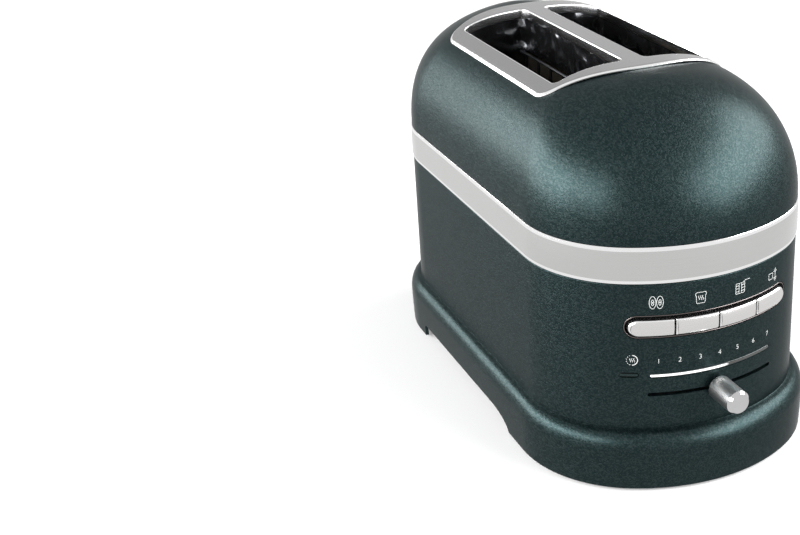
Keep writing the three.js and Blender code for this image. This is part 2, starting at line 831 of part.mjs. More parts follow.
// A mica card with its heating ribbon wound in level turns, towards the bread.
function heaterCard(x, facing) {
  const front = -chamberFront + clearance;
  const back = chamberBack - clearance;
  const half = heaterThickness / 2;
  const card = block([x - half, front, heaterBottom], [x + half, back, heaterTop]);
  const face = x + facing * half;
  const turns = [];
  for (let z = heaterBottom + ribbonMargin; z < heaterTop - ribbonMargin; z += ribbonPitch) {
    turns.push(block([x, front + ribbonMargin, z],
      [face + facing * ribbonProud, back - ribbonMargin, z + ribbonHeight]));
  }
  return join(card, turns);
}

function breadGuide(x) {
  const pivotWire = bar(
    [x, -chamberFront + clearance, guideBottom], [x, chamberBack - clearance, guideBottom],
    wireRadius, wireSides);
  const topWire = bar([x, -guideFront, guideTop], [x, guideBack, guideTop], wireRadius, wireSides);
  const uprights = Array.from({ length: guideWireCount }, (_, i) => {
    const share = (i + 0.5) / guideWireCount;
    const y = -guideFront + share * (guideFront + guideBack);
    return bar([x, y, guideBottom], [x, y, guideTop], uprightRadius, wireSides);
  });
  return join(pivotWire, topWire, uprights);
}

function breadCarrier(side) {
  const x = side * carrierX;
  const half = wireRadius;
  const rail = block(
    [x - half, -guideFront, carrierTop - carrierRailHeight], [x + half, guideBack, carrierTop]);
  const tail = block([x - half, -chamberFrontFace - carrierTabReach, carrierTop - carrierTabHeight],
    [x + half, -guideFront + overrun, carrierTop - carrierRailHeight / 2]);
  const rear = block([x - half, guideBack - overrun, carrierTop - carrierTabHeight],
    [x + half, chamberBackFace + carrierTabReach, carrierTop - carrierRailHeight / 2]);
  const bars = Array.from({ length: carrierBarCount }, (_, i) => {
    const share = (i + 0.5) / carrierBarCount;
    const y = -guideFront + share * (guideFront + guideBack);
    const z = carrierTop - wireRadius;
    return bar([x - carrierHalfWidth, y, z], [x + carrierHalfWidth, y, z], wireRadius, wireSides);
  });
  return join(rail, tail, rear, bars);
}

function liftBracket() {
  const low = bracketMiddle - bracketHeight / 2;
  const high = bracketMiddle + bracketHeight / 2;
  const plate = block([-bracketHalfWidth, -bracketFace - bracketThickness, low],
    [bracketHalfWidth, -bracketFace, high]);
  const bushes = sides.map(([, side]) => {
    const x = side * rodX;
    const boss = bar([x, -rodY, bracketMiddle - bushHeight / 2], [x, -rodY, bracketMiddle + bushHeight / 2],
      bushRadius);
    return join(boss, block([x - bushRadius, -rodY, low], [x + bushRadius, -bracketFace, high]));
  });
  const bores = sides.map(([, side]) => bar(
    [side * rodX, -rodY, bracketMiddle - bushHeight], [side * rodX, -rodY, bracketMiddle + bushHeight],
    rodRadius + clearance));
  return cut(join(plate, bushes), bores);
}

const gearBack = -bracketFace - bracketThickness - clearance;

// Teeth with 20 degree flanks, whose spaces lie level with the pinion's axis.
function liftRack() {
  const addendum = toothModule * addendumShare;
  const dedendum = toothModule * dedendumShare;
  const half = (rackPitch / 2 - backlash / 2) / 2;
  const lean = Math.tan(pressureAngle);
  const first = pinionHeight - rackPitch * rackTeethBelow;
  const teeth = Array.from({ length: rackTeeth }, (_, i) => {
    const z = first + i * rackPitch;
    return [
      [-dedendum, z - half - dedendum * lean], [addendum, z - half + addendum * lean],
      [addendum, z + half - addendum * lean], [-dedendum, z + half + dedendum * lean]];
  }).flat();
  const low = first - rackPitch / 2;
  const high = first + (rackTeeth - 0.5) * rackPitch;
  const spine = -dedendum - rackBack;
  const outline = [[spine, low], [-dedendum, low], ...teeth, [-dedendum, high], [spine, high]];
  return lengthwise(drawn(outline), gearBack - gearWidth, gearBack);
}

// An involute pinion on its shaft, with one tooth towards the rack.
function motorPinion() {
  const base = pitchRadius * Math.cos(pressureAngle);
  const tip = pitchRadius + toothModule * addendumShare;
  const root = pitchRadius - toothModule * dedendumShare;
  const involute = (radius) => {
    const angle = Math.acos(Math.min(1, base / radius));
    return Math.tan(angle) - angle;
  };
  const halfAtPitch = (rackPitch / 2 - backlash / 2) / (2 * pitchRadius);
  const halfAt = (radius) => halfAtPitch + involute(pitchRadius) - involute(Math.max(radius, base));
  const flank = Array.from({ length: flankSteps + 1 }, (_, i) => base + ((tip - base) * i) / flankSteps);
  const radii = [root, ...flank];
  const points = [];
  for (let tooth = 0; tooth < pinionTeeth; tooth++) {
    const middle = Math.PI + (tooth * 2 * Math.PI) / pinionTeeth;
    const rise = radii.map((radius) => [radius, middle - halfAt(radius)]);
    const fall = radii.map((radius) => [radius, middle + halfAt(radius)]).reverse();
    points.push(...rise, ...fall);
  }
  const outline = points.map(([radius, angle]) => [
    pitchRadius + radius * Math.cos(angle), pinionHeight + radius * Math.sin(angle)]);
  const wheel = lengthwise(drawn(outline), gearBack - gearWidth, gearBack);
  const shaft = bar([pitchRadius, -bridgeFace - bridgeThickness, pinionHeight],
    [pitchRadius, gearBack - clearance, pinionHeight], pinionShaftRadius, pinSteps);
  return join(wheel, shaft);
}

function guideRod(side) {
  return bar([side * rodX, -rodY, baseTop + clearance], [side * rodX, -rodY, rodTop], rodRadius);
}

function motorBridge() {
  const low = pinionHeight - bridgeHeight / 2;
  const high = pinionHeight + bridgeHeight / 2;
  const face = -bridgeFace - bridgeThickness;
  const seat = -chamberFrontFace - clearance;
  const inner = bridgeHalfWidth - bridgeThickness;
  const toe = bridgeHalfWidth + bridgeFoot;
  const right = [
    [bridgeHalfWidth, face], [bridgeHalfWidth, seat - bridgeThickness], [toe, seat - bridgeThickness],
    [toe, seat], [inner, seat], [inner, -bridgeFace]];
  const left = right.map(([x, y]) => [-x, y]).reverse();
  const hat = column(drawn([...right, ...left]), low, high);
  const hole = bar(
    [pitchRadius, face - overrun, pinionHeight], [pitchRadius, -bridgeFace + overrun, pinionHeight],
    pinionShaftRadius + clearance, pinSteps);
  return cut(hat, hole);
}

function liftMotor() {
  const face = -bridgeFace - bridgeThickness - clearance;
  return join(
    bar([pitchRadius, face - motorLength, pinionHeight], [pitchRadius, face, pinionHeight], motorRadius),
    bar([pitchRadius, face - motorLength - motorCapLength, pinionHeight],
      [pitchRadius, face - motorLength / 2, pinionHeight], motorCapRadius, pinSteps));
}

const buttonPitch = (2 * buttonRowHalfLength) / buttonCount;

function buttonMiddle(index) {
  return -buttonRowHalfLength + (index + 0.5) * buttonPitch;
}

function buttonBezel() {
  const low = buttonRowZ - recessHeight / 2 - bezelFlange;
  const high = buttonRowZ + recessHeight / 2 + bezelFlange;
  const rimShape = stadium(0, buttonRowZ, recessHalfLength - clearance, recessHeight - 2 * clearance);
  const wellShape = stadium(0, buttonRowZ, recessHalfLength - clearance - bezelRim,
    recessHeight - 2 * clearance - 2 * bezelRim);
  const flangeShape = stadium(0, buttonRowZ, recessHalfLength + bezelFlange, recessHeight + 2 * bezelFlange);
  const rim = panelSkin(bezelDepth, clearance, low, high).intersect(panelWindow(rimShape));
  const well = panelSkin(bezelDepth - bezelFloor, -overrun, low, high).intersect(panelWindow(wellShape));
  const flange = panelSkin(wall + clearance + bezelRim, wall + clearance, low, high)
    .intersect(panelWindow(flangeShape));
  const windows = Array.from({ length: buttonCount }, (_, i) => {
    const x = buttonMiddle(i);
    const halfWidth = stemHalfWidth + stemPlay;
    const halfHeight = stemHalfHeight + stemPlay;
    return panelBox(x - halfWidth, x + halfWidth, buttonRowZ - halfHeight, buttonRowZ + halfHeight);
  });
  const floorMiddle = bowRadius - bezelDepth + bezelFloor / 2;
  const posts = sides.map(([, side]) => bar(
    [side * buttonPitch, -panelBoardY - clearance - panelBoardThickness, buttonRowZ],
    [side * buttonPitch, panelCentreY - Math.sqrt(floorMiddle ** 2 - buttonPitch ** 2), buttonRowZ],
    postRadius, pinSteps));
  return cut(join(cut(join(rim, flange), well), posts), windows);
}

function panelButton(index) {
  const low = buttonRowZ - buttonHeight / 2;
  const high = buttonRowZ + buttonHeight / 2;
  const back = bowRadius - buttonDepth;
  const face = bowRadius + buttonProud;
  const profile = [
    [back, low], [face - buttonBevel, low], [face, low + buttonBevel], [face + buttonCrown, buttonRowZ],
    [face, high - buttonBevel], [face - buttonBevel, high], [back, high]];
  const x = buttonMiddle(index);
  const half = (buttonPitch - buttonGap) / 2;
  const row = turned(profile, [0, panelCentreY], turnSteps)
    .intersect(panelWindow(stadium(0, buttonRowZ, buttonEndX, buttonHeight)));
  const rooted = Math.sqrt((back + buttonDepth / 2) ** 2 - (Math.abs(x) + stemHalfWidth) ** 2);
  const stemFront = panelCentreY - rooted;
  const stemBack = -panelBoardY - panelBoardThickness - switchHeight - buttonTravel - clearance;
  const stem = block([x - stemHalfWidth, stemFront, buttonRowZ - stemHalfHeight],
    [x + stemHalfWidth, stemBack, buttonRowZ + stemHalfHeight]);
  return join(row.intersect(panelBox(x - half, x + half, low, high)), stem);
}

// The board behind the panel, with a switch for each button and a lamp for each shade number.
function panelBoard() {
  const face = -panelBoardY - panelBoardThickness;
  const board = block([-panelBoardHalfWidth, face, panelBoardBottom],
    [panelBoardHalfWidth, -panelBoardY, panelBoardTop]);
  const switches = Array.from({ length: buttonCount }, (_, i) => {
    const x = buttonMiddle(i);
    return block([x - switchHalfWidth, face - switchHeight, buttonRowZ - switchHalfWidth],
      [x + switchHalfWidth, -panelBoardY, buttonRowZ + switchHalfWidth]);
  });
  const lamps = Array.from({ length: numeralCount }, (_, i) => {
    const x = numeralPlace(i);
    return block([x - ledHalfWidth, face - ledHeight, lightZ - ledHalfWidth],
      [x + ledHalfWidth, -panelBoardY, lightZ + ledHalfWidth]);
  });
  return join(board, switches, lamps);
}

function numeralPlace(index) {
  return bowRadius * Math.sin((index - (numeralCount - 1) / 2) * sliderStep);
}

function lightBar() {
  const half = lightHeight / 2;
  const behind = wall + clearance;
  const lens = panelSkin(behind + lightFlange, 0, lightZ - half, lightZ + half)
    .intersect(panelWindow(stadium(0, lightZ, lightHalfLength, lightHeight)));
  const high = half + lightFlange;
  const flange = panelSkin(behind + lightFlange, behind, lightZ - high, lightZ + high)
    .intersect(panelWindow(stadium(0, lightZ, lightHalfLength + lightFlange, 2 * high)));
  return join(lens, flange);
}

function indicatorWindow() {
  const half = indicatorHeight / 2;
  const behind = wall + clearance;
  const lens = panelSkin(behind, clearance, indicatorZ - half, indicatorZ + half);
  return lens.intersect(panelWindow(stadium(-indicatorX, indicatorZ, indicatorHalfLength, indicatorHeight)));
}

function sliderTrack() {
  const low = sliderZ - carriageHeight / 2;
  const high = sliderZ + carriageHeight / 2;
  const rail = panelRing(carriageInner + clearance + trackThickness, carriageInner + clearance, low, high)
    .intersect(panelBox(-trackHalfLength, trackHalfLength, low, high));
  const stops = sides.map(([, side]) => {
    const ring = panelRing(carriageInner + clearance + trackThickness, wall + clearance, low, high);
    return ring.intersect(panelBox(side * (trackHalfLength - trackStop), side * trackHalfLength, low, high));
  });
  return join(rail, stops);
}

function sliderCarriage() {
  const low = sliderZ - carriageHeight / 2;
  const high = sliderZ + carriageHeight / 2;
  const shoe = panelRing(carriageInner, wall + clearance, low, high)
    .intersect(panelBox(-carriageHalfWidth, carriageHalfWidth, low, high));
  const tab = block([-tabHalfWidth, -bodyFront - tabReach, sliderZ - tabHeight / 2],
    [tabHalfWidth, -bodyFront + (wall + carriageInner) / 2, sliderZ + tabHeight / 2]);
  return join(shoe, tab);
}

function sliderKnob() {
  const back = -bodyFront - knobStandoff;
  const tip = back - knobLength;
  const profile = [
    [0, -back], [knobRadius, -back], [knobRadius, -tip - knobChamfer],
    [knobRadius - knobChamfer, -tip], [0, -tip]];
  const lathed = new THREE.LatheGeometry(profile.map(([r, h]) => new THREE.Vector2(r, h)), roundSteps);
  const body = solid(lathed.rotateX(Math.PI).translate(0, 0, sliderZ));
  const play = clearance;
  const socket = block([-tabHalfWidth - play, -bodyFront - tabReach - play, sliderZ - tabHeight / 2 - play],
    [tabHalfWidth + play, back + overrun, sliderZ + tabHeight / 2 + play]);
  return cut(body, socket);
}

function controlBoard() {
  const board = block([-boardHalfWidth, -boardY, baseTop + clearance],
    [boardHalfWidth, -boardY + boardThickness, boardTop]);
  const back = -boardY + boardThickness / 2;
  const relayBottom = baseTop + relayBottomShare * (boardTop - baseTop);
  const relays = sides.map(([, side]) => {
    const x = (side * boardHalfWidth) / 2;
    return block([x - relayWidth / 2, back, relayBottom],
      [x + relayWidth / 2, back + relayDepth, relayBottom + relayHeight]);
  });
  const capacitor = bar([0, back, relayBottom + relayHeight / 2],
    [0, back + capacitorHeight, relayBottom + relayHeight / 2], capacitorRadius);
  return join(board, relays, capacitor);
}

function finish(color, roughness, metalness) {
  return new THREE.MeshStandardMaterial({ color, roughness, metalness });
}

const finishes = {
  paint: finish("#2f403e", 0.45, 0.35),
  band: finish("#c6c6c4", 0.3, 1),
  trim: finish("#a9aaa9", 0.32, 1),
  liner: finish("#16181a", 0.2, 0.6),
  chrome: finish("#dcdcdc", 0.08, 1),
  satin: finish("#d5d2d2", 0.25, 1),
  darkPlastic: finish("#1c1e1f", 0.55, 0),
  rubber: finish("#202122", 0.9, 0),
  steel: finish("#9aa0a3", 0.35, 1),
  wire: finish("#6e7376", 0.3, 1),
  mica: finish("#b9ab8c", 0.7, 0),
  board: finish("#2c5a3a", 0.6, 0),
  lens: finish("#f4f6f8", 0.3, 0),
};

const toaster = new THREE.Group();

function addPart(name, piece, material) {
  const mesh = piece.getMesh();
  const geometry = new THREE.BufferGeometry();
  geometry.setAttribute("position", new THREE.Float32BufferAttribute(mesh.vertProperties, mesh.numProp));
  geometry.setIndex(Array.from(mesh.triVerts));
  geometry.computeVertexNormals();
  const part = new THREE.Mesh(geometry, material.clone());
  part.name = name;
  toaster.add(part);
}

addPart("upper_shell", upperShell(), finishes.paint);
addPart("lower_housing", lowerHousing(), finishes.paint);
addPart("trim_band", trimBand(), finishes.band);
addPart("slot_trim", slotTrim(), finishes.trim);
addPart("base_plate", basePlate(), finishes.darkPlastic);
addPart("cord_grommet", cordGrommet(), finishes.rubber);
addPart("crumb_tray", crumbTray(), finishes.steel);
addPart("crumb_tray_handle", crumbTrayHandle(), finishes.paint);
addPart("chamber_front_plate", chamberFrontPlate(), finishes.steel);
addPart("chamber_rear_plate", chamberRearPlate(), finishes.steel);
for (const [place, x, y] of footPlaces()) addPart(`rubber_foot_${place}`, rubberFoot(x, y), finishes.rubber);
for (const [place, x, y] of screwPlaces()) addPart(`base_screw_${place}`, baseScrew(x, y), finishes.steel);
for (const [name, side] of sides) {
  addPart(`slot_liner_${name}`, slotLiner(side), finishes.liner);
  addPart(`reflector_${name}`, reflector(side), finishes.steel);
  addPart(`heater_outer_${name}`, heaterCard(side * heaterOuterX, -side), finishes.mica);
  addPart(`heater_inner_${name}`, heaterCard(side * heaterInnerX, side), finishes.mica);
  addPart(`guide_outer_${name}`, breadGuide(side * guideOuterX), finishes.wire);
  addPart(`guide_inner_${name}`, breadGuide(side * guideInnerX), finishes.wire);
  addPart(`bread_carrier_${name}`, breadCarrier(side), finishes.wire);
  addPart(`guide_rod_${name}`, guideRod(side), finishes.steel);
}
addPart("lift_bracket", liftBracket(), finishes.steel);
addPart("lift_rack", liftRack(), finishes.darkPlastic);
addPart("motor_pinion", motorPinion(), finishes.darkPlastic);
addPart("motor_bridge", motorBridge(), finishes.steel);
addPart("lift_motor", liftMotor(), finishes.steel);
addPart("button_bezel", buttonBezel(), finishes.chrome);
["bagel_button", "reheat_button", "sandwich_button", "lift_button"].forEach((name, index) => {
  addPart(name, panelButton(index), finishes.satin);
});
addPart("panel_board", panelBoard(), finishes.board);
addPart("light_bar", lightBar(), finishes.lens);
addPart("indicator_window", indicatorWindow(), finishes.darkPlastic);
addPart("slider_track", sliderTrack(), finishes.darkPlastic);
addPart("slider_carriage", sliderCarriage(), finishes.darkPlastic);
addPart("slider_knob", sliderKnob(), finishes.chrome);
addPart("control_board", controlBoard(), finishes.board);

// The body is drawn about its own middle, and the knob reaches past it in front.
const frontReach = bodyFront + knobStandoff + knobLength;
toaster.position.y = (frontReach - bodyBack - flareEnd) / 2;

export default toaster;
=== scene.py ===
"""Shells, metalwork, marks, finishes and studio of an automatic two-slice toaster."""

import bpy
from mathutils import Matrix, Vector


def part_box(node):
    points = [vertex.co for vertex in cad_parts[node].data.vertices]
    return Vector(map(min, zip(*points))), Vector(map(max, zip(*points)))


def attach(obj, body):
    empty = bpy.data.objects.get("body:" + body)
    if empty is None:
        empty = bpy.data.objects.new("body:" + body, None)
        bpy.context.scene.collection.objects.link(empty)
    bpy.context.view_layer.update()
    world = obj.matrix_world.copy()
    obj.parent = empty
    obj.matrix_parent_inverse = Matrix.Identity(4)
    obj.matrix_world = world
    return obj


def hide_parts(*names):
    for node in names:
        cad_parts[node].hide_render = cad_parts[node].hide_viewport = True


bl_info = {
    "name": "Two-Slice Toaster",
    "version": (1, 0, 0),
    "blender": (4, 5, 0),
    "location": "3D View > Sidebar > Toaster",
    "description": "Builds the fine pieces, finishes and studio of a two-slice toaster",
    "category": "Object",
}

import math

import bmesh
import bpy
from bpy.props import FloatProperty, FloatVectorProperty, IntProperty, PointerProperty
from bpy.types import Operator, Panel, PropertyGroup
from mathutils import Matrix, Vector
from mathutils.geometry import delaunay_2d_cdt

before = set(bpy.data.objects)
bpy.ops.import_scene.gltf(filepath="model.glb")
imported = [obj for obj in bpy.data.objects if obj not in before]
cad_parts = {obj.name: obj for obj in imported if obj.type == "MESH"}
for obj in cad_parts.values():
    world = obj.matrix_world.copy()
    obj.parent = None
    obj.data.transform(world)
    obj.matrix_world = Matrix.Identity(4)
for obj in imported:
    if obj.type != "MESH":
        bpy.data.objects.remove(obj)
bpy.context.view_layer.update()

SHELL_LOW, SHELL_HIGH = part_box("upper_shell")
HOUSING_LOW, HOUSING_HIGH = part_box("lower_housing")
TRIM_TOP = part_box("slot_trim")[1].z
LINER_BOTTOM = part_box("slot_liner_right")[0].z
GUIDE_LOW, GUIDE_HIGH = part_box("guide_inner_right")
CARRIER_LOW, CARRIER_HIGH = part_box("bread_carrier_right")
TRAY_LOW, TRAY_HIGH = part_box("crumb_tray")
HANDLE_LOW, HANDLE_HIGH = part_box("crumb_tray_handle")
FOOT_LOW, FOOT_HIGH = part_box("rubber_foot_front_left")
KNOB_LOW, KNOB_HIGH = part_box("slider_knob")

OVERRUN = 0.004  # how far a cutter runs past what it cuts
WELD = 0.000002  # points nearer than this are one
SMOOTH_ANGLE = math.radians(32)  # edges that bend more than this stay sharp
EDGE_STEPS = 4  # facets over a small rounded edge
SIDES = (("left", -1), ("right", 1))
BUTTONS = ("bagel", "reheat", "sandwich", "lift")

# Edges of sections: shares of their bevel, radius or height, but a screw head's heights are metres.
BAND_BEVEL = ((0.0, 0.0), (0.45, 0.12), (0.85, 0.7), (1.0, 1.0))
PLATE_EDGE = ((0.0, 1.0), (0.08, 0.84), (0.25, 0.6), (0.85, 0.08), (1.0, 0.0))
FOOT_PAD = ((0.82, 0.0), (0.94, 0.06), (1.0, 0.2))
FOOT_STEM = ((1.0, 0.6), (0.94, 0.66), (0.38, 0.69), (0.37, 1.0))
SCREW_HEAD = ((0.35, 0.0004), (0.45, 0.0001), (0.8, 0.0001), (1.0, 0.0006), (1.0, 0.0016), (0.5, 0.0018))
SCREW_SHANK = 0.48
CAP_HEIGHT = 0.72  # of a number, as a share of the lettering's size


def size(label, about, metres):
    return FloatProperty(name=label, description=about, default=metres, unit="LENGTH", precision=5)


def plain(label, about, value):
    return FloatProperty(name=label, description=about, default=value)


def angle(label, about, degrees):
    return FloatProperty(name=label, description=about, default=math.radians(degrees), unit="ROTATION")


def count(label, about, value):
    return IntProperty(name=label, description=about, default=value, min=1)


def place(label, about, metres):
    return FloatVectorProperty(
        name=label, description=about, default=metres, size=3, subtype="XYZ", unit="LENGTH")


def lamp_turns(label, about, degrees):
    return FloatVectorProperty(
        name=label, description=about, default=[math.radians(turn) for turn in degrees], size=3,
        subtype="EULER", unit="ROTATION")


def lamp_sides(label, about, metres):
    return FloatVectorProperty(name=label, description=about, default=metres, size=2, unit="LENGTH")


def linear(code):
    """The linear colour of an sRGB code such as 2f403e."""
    values = [int(code[i:i + 2], 16) / 255 for i in (0, 2, 4)]
    return tuple(v / 12.92 if v <= 0.04045 else ((v + 0.055) / 1.055) ** 2.4 for v in values)


def tint(label, about, code):
    return FloatVectorProperty(
        name=label, description=about, default=linear(code), size=3, min=0, max=1, subtype="COLOR")


class BodySizes(PropertyGroup):
    """The painted shells: a bowed plan, a domed top and a flared foot."""

    back_reach: size("Back reach", "Middle of the body to its back", 0.150)
    bow_radius: size("Bow radius", "Radius of the front and back in plan", 0.099)
    corner_radius: size("Corner radius", "Radius of the round corners in plan", 0.066)
    wall: size("Wall", "Thickness of both shells", 0.0022)
    ridge_front: size("Ridge front", "Middle of the body to the front of the dome's ridge", 0.090)
    ridge_back: size("Ridge back", "Middle of the body to the back of the dome's ridge", 0.100)
    side_power: plain("Side power", "Roundness of the dome across its width", 3.0)
    rise_power: plain("Rise power", "Roundness of the dome over its height", 2.25)
    end_power: plain("End power", "Roundness of the dome along its length", 1.58)
    front_rise_power: plain("Front rise power", "Roundness of the dome's front over its height", 2.15)
    back_rise_power: plain("Back rise power", "Roundness of the dome's back over its height", 3.2)
    flare_top: size("Flare top", "Height where the foot begins to flare", 0.0352)
    flare_shoulder: size("Flare shoulder", "Height of the widest part of the foot", 0.0248)
    flare_fillet: plain("Flare fillet", "Share of the shoulder's climb where its fillet begins", 0.99)
    flare_tuck: plain("Flare tuck", "Share of the flare that the foot draws in at the floor", 0.10)
    arch_height: size("Arch height", "Height of the low arch in each side", 0.0100)
    arch_front: size("Arch front", "Middle of the body to the arch's curved end", 0.070)
    arch_back: size("Arch back", "Middle of the body to the arch's square end", 0.072)
    arch_front_run: size("Arch front run", "Length of the arch's curved end", 0.026)
    arch_back_run: size("Arch back run", "Radius of the arch's square end", 0.003)
    handle_margin: size("Handle margin", "Side of the tray's handle to its tongue", 0.0115)
    handle_tongue: size("Handle tongue", "Thickness of the handle's tongue", 0.002)
    handle_corner: size("Handle corner", "Radius of the handle's corners", 0.001)
    handle_reach: size("Handle reach", "Depth of the tray's passage to either side of the back", 0.020)
    edge_round: size("Edge round", "Rounding of the shells' edges", 0.0005)
    gap: size("Gap", "Space between the tray's passage and its handle", 0.0005)
    bow_steps: count("Bow steps", "Facets over half of each bow", 22)
    corner_steps: count("Corner steps", "Facets over each corner", 40)
    side_steps: count("Side steps", "Facets along each straight side", 12)
    dome_steps: count("Dome steps", "Levels of the dome", 110)
    around_steps: count("Around steps", "Facets round the dome", 520)


class BandSizes(PropertyGroup):
    """The brushed band between the shells."""

    proud: size("Proud", "How far the band stands out of the shells", 0.0006)
    bevel: size("Bevel", "Height of the band's bright bevels", 0.0021)
    depth: size("Depth", "Thickness of the band", 0.0026)
    seam: size("Seam", "Gap over and under the band", 0.0003)


class TrimSizes(PropertyGroup):
    """The plate round the slots, its lips and the liners."""

    half_width: size("Half width", "Half width of the plate", 0.0590)
    front: size("Front", "Middle of the body to the trim's front at its middle", 0.0780)
    back: size("Back", "Middle of the body to the trim's back at its middle", 0.0895)
    front_bow: size("Front bow", "How far the trim's front bows", 0.0145)
    back_bow: size("Back bow", "How far the trim's back bows", 0.012)
    corner: size("Corner", "Radius of the trim's corners", 0.012)
    thickness: size("Thickness", "Thickness of the plate", 0.0012)
    lift: size("Lift", "Gap between the plate and the shell", 0.0003)
    bevel: size("Bevel", "Width of the plate's bright outer bevel", 0.0011)
    bevel_drop: size("Bevel drop", "Fall of the outer bevel", 0.0007)
    slot_bevel: size("Slot bevel", "Rounding of the slots' edges", 0.0006)
    slot_inner: size("Slot inner", "Middle of the trim to the near side of a slot", 0.0066)
    slot_outer: size("Slot outer", "Middle of the trim to the far side of a slot", 0.0494)
    slot_front: size("Slot front", "Middle of the body to the front of the slots", 0.062)
    slot_back: size("Slot back", "Middle of the body to the back of the slots", 0.073)
    slot_corner: size("Slot corner", "Radius of the slots' corners", 0.004)
    lip_thickness: size("Lip thickness", "Thickness of the turned-in lip", 0.001)
    lip_depth: size("Lip depth", "Depth of the turned-in lip", 0.004)
    liner_thickness: size("Liner thickness", "Thickness of the sleeve under the lip", 0.0008)
    mesh_pitch: size("Mesh pitch", "Spacing of the plate's facets", 0.003)


class PanelSizes(PropertyGroup):
    """The controls on the bowed front."""

    row_half_length: size("Row half length", "Middle of the button row to its end", 0.0487)
    button_pitch: size("Button pitch", "Spacing of the buttons", 0.02525)
    button_height: size("Button height", "Height of the buttons", 0.0094)
    button_gap: size("Button gap", "Gap between buttons", 0.0008)
    button_proud: size("Button proud", "How far the buttons stand out", 0.0013)
    button_bevel: size("Button bevel", "Bevel of the buttons' edges", 0.0007)
    button_corner: size("Button corner", "Radius of the buttons' square corners", 0.0005)
    button_crown: size("Button crown", "Rise of a button's face at mid height", 0.0004)
    button_drop: size("Button drop", "How far the buttons sit under the recess' middle", 0.0006)
    button_depth: size("Button depth", "Depth of the buttons' sides", 0.003)
    recess_half_length: size("Recess half length", "Middle of the recess to its end", 0.0510)
    recess_height: size("Recess height", "Height of the recess", 0.0140)
    recess_height_z: size("Recess place", "Height of the recess' middle over the floor", 0.098)
    recess_depth: size("Recess depth", "Depth of the recess' floor", 0.0055)
    rim: size("Rim", "Width of the recess' polished rim", 0.0006)
    rim_round: size("Rim round", "Rounding of the rim", 0.0003)
    rim_gap: size("Rim gap", "Gap round the rim", 0.0003)
    light_half_length: size("Light half length", "Middle of the light strip to its end", 0.0375)
    light_height: size("Light height", "Height of the light strip", 0.0022)
    light_z: size("Light place", "Height of the light strip over the floor", 0.0683)
    lit_end: size("Lit end", "Middle of the panel to the end of the lit part", 0.0055)
    lamp_pitch: size("Lamp pitch", "Spacing of the lamps behind the strip", 0.0059)
    indicator_x: size("Indicator place", "Middle of the panel to the dark window", 0.048)
    indicator_z: size("Indicator height", "Height of the dark window over the floor", 0.069)
    indicator_half_length: size("Indicator half length", "Half length of the dark window", 0.0044)
    indicator_height: size("Indicator size", "Height of the dark window", 0.0026)
    slit_half_length: size("Slit half length", "Middle of the slider's slit to its end", 0.039)
    slit_height: size("Slit height", "Height of the slider's slit", 0.0022)
    slit_z: size("Slit place", "Height of the slit over the floor", 0.0568)
    knob_radius: size("Knob radius", "Radius of the knob", 0.0069)
    knob_chamfer: size("Knob chamfer", "Bevel of the knob's end", 0.0015)
    round_steps: count("Round steps", "Facets over a half circle", 24)
    mesh_pitch: size("Mesh pitch", "Spacing of the panel pieces' facets", 0.0016)


class MarkSizes(PropertyGroup):
    """The printed numbers and pictograms."""

    numeral_height: size("Numeral height", "Height of the numbers", 0.0030)
    numeral_z: size("Numeral place", "Height of the numbers' middle over the floor", 0.077)
    numeral_step: size("Numeral step", "Spacing of the numbers along the bow", 0.01175)
    numeral_count: count("Numerals", "Highest number", 7)
    icon_z: size("Pictogram place", "Height of the pictograms' middle over the floor", 0.1124)
    icon_size: size("Pictogram size", "Height of a pictogram", 0.0066)
    stroke: size("Stroke", "Width of a pictogram's lines", 0.00034)
    raised: size("Raised", "Thickness of the print", 0.00004)
    numeral_x: size("Middle numeral", "Middle of the panel to the middle number", 0.0011)
    bagel_x: size("Bagel place", "Middle of the panel to the bagel pictogram", -0.0350)
    slice_x: size("Slice place", "Middle of the panel to the slice pictogram", -0.0112)
    rack_x: size("Rack place", "Middle of the panel to the cage pictogram", 0.0134)
    lift_x: size("Lift place", "Middle of the panel to the lift pictogram", 0.0389)
    lift_drop: size("Lift drop", "How far the lift pictogram sits under the others", 0.0009)
    dial_x: size("Dial place", "Middle of the panel to the shade pictogram", -0.0466)
    dial_z: size("Dial height", "Height of the shade pictogram over the floor", 0.0782)


class InsideSizes(PropertyGroup):
    """Wires, heaters and the crumb tray."""

    wire: size("Wire", "Radius of the rails and bars", 0.001)
    upright: size("Upright", "Radius of the guides' upright wires", 0.0009)
    guide_wires: count("Guide wires", "Upright wires in each bread guide", 7)
    guide_front: size("Guide front", "Middle of the body to the guides' front", 0.057)
    guide_back: size("Guide back", "Middle of the body to the guides' back", 0.068)
    carrier_bars: count("Carrier bars", "Cross bars of each bread carrier", 6)
    carrier_half_width: size("Carrier half width", "Half length of the cross bars", 0.011)
    rail_height: size("Rail height", "Height of the carriers' rails", 0.005)
    tab_height: size("Tab height", "Height of the carriers' end tabs", 0.012)
    card: size("Card", "Thickness of the mica cards", 0.0008)
    ribbon_height: size("Ribbon height", "Width of the heating ribbon", 0.0016)
    ribbon: size("Ribbon", "Thickness of the heating ribbon", 0.0003)
    ribbon_turns: count("Ribbon turns", "Turns of ribbon on each card", 20)
    ribbon_margin: size("Ribbon margin", "Card left bare at its edges", 0.006)
    tray_sheet: size("Tray sheet", "Thickness of the tray's sheet", 0.0009)
    tray_corner: size("Tray corner", "Radius of the tray's corners", 0.004)
    bead_height: size("Bead height", "Rise of the beads in the tray's floor", 0.0005)
    bead_pitch: size("Bead pitch", "Spacing of the beads", 0.030)
    floor_pitch: size("Floor pitch", "Spacing of the facets in the tray's floor", 0.003)


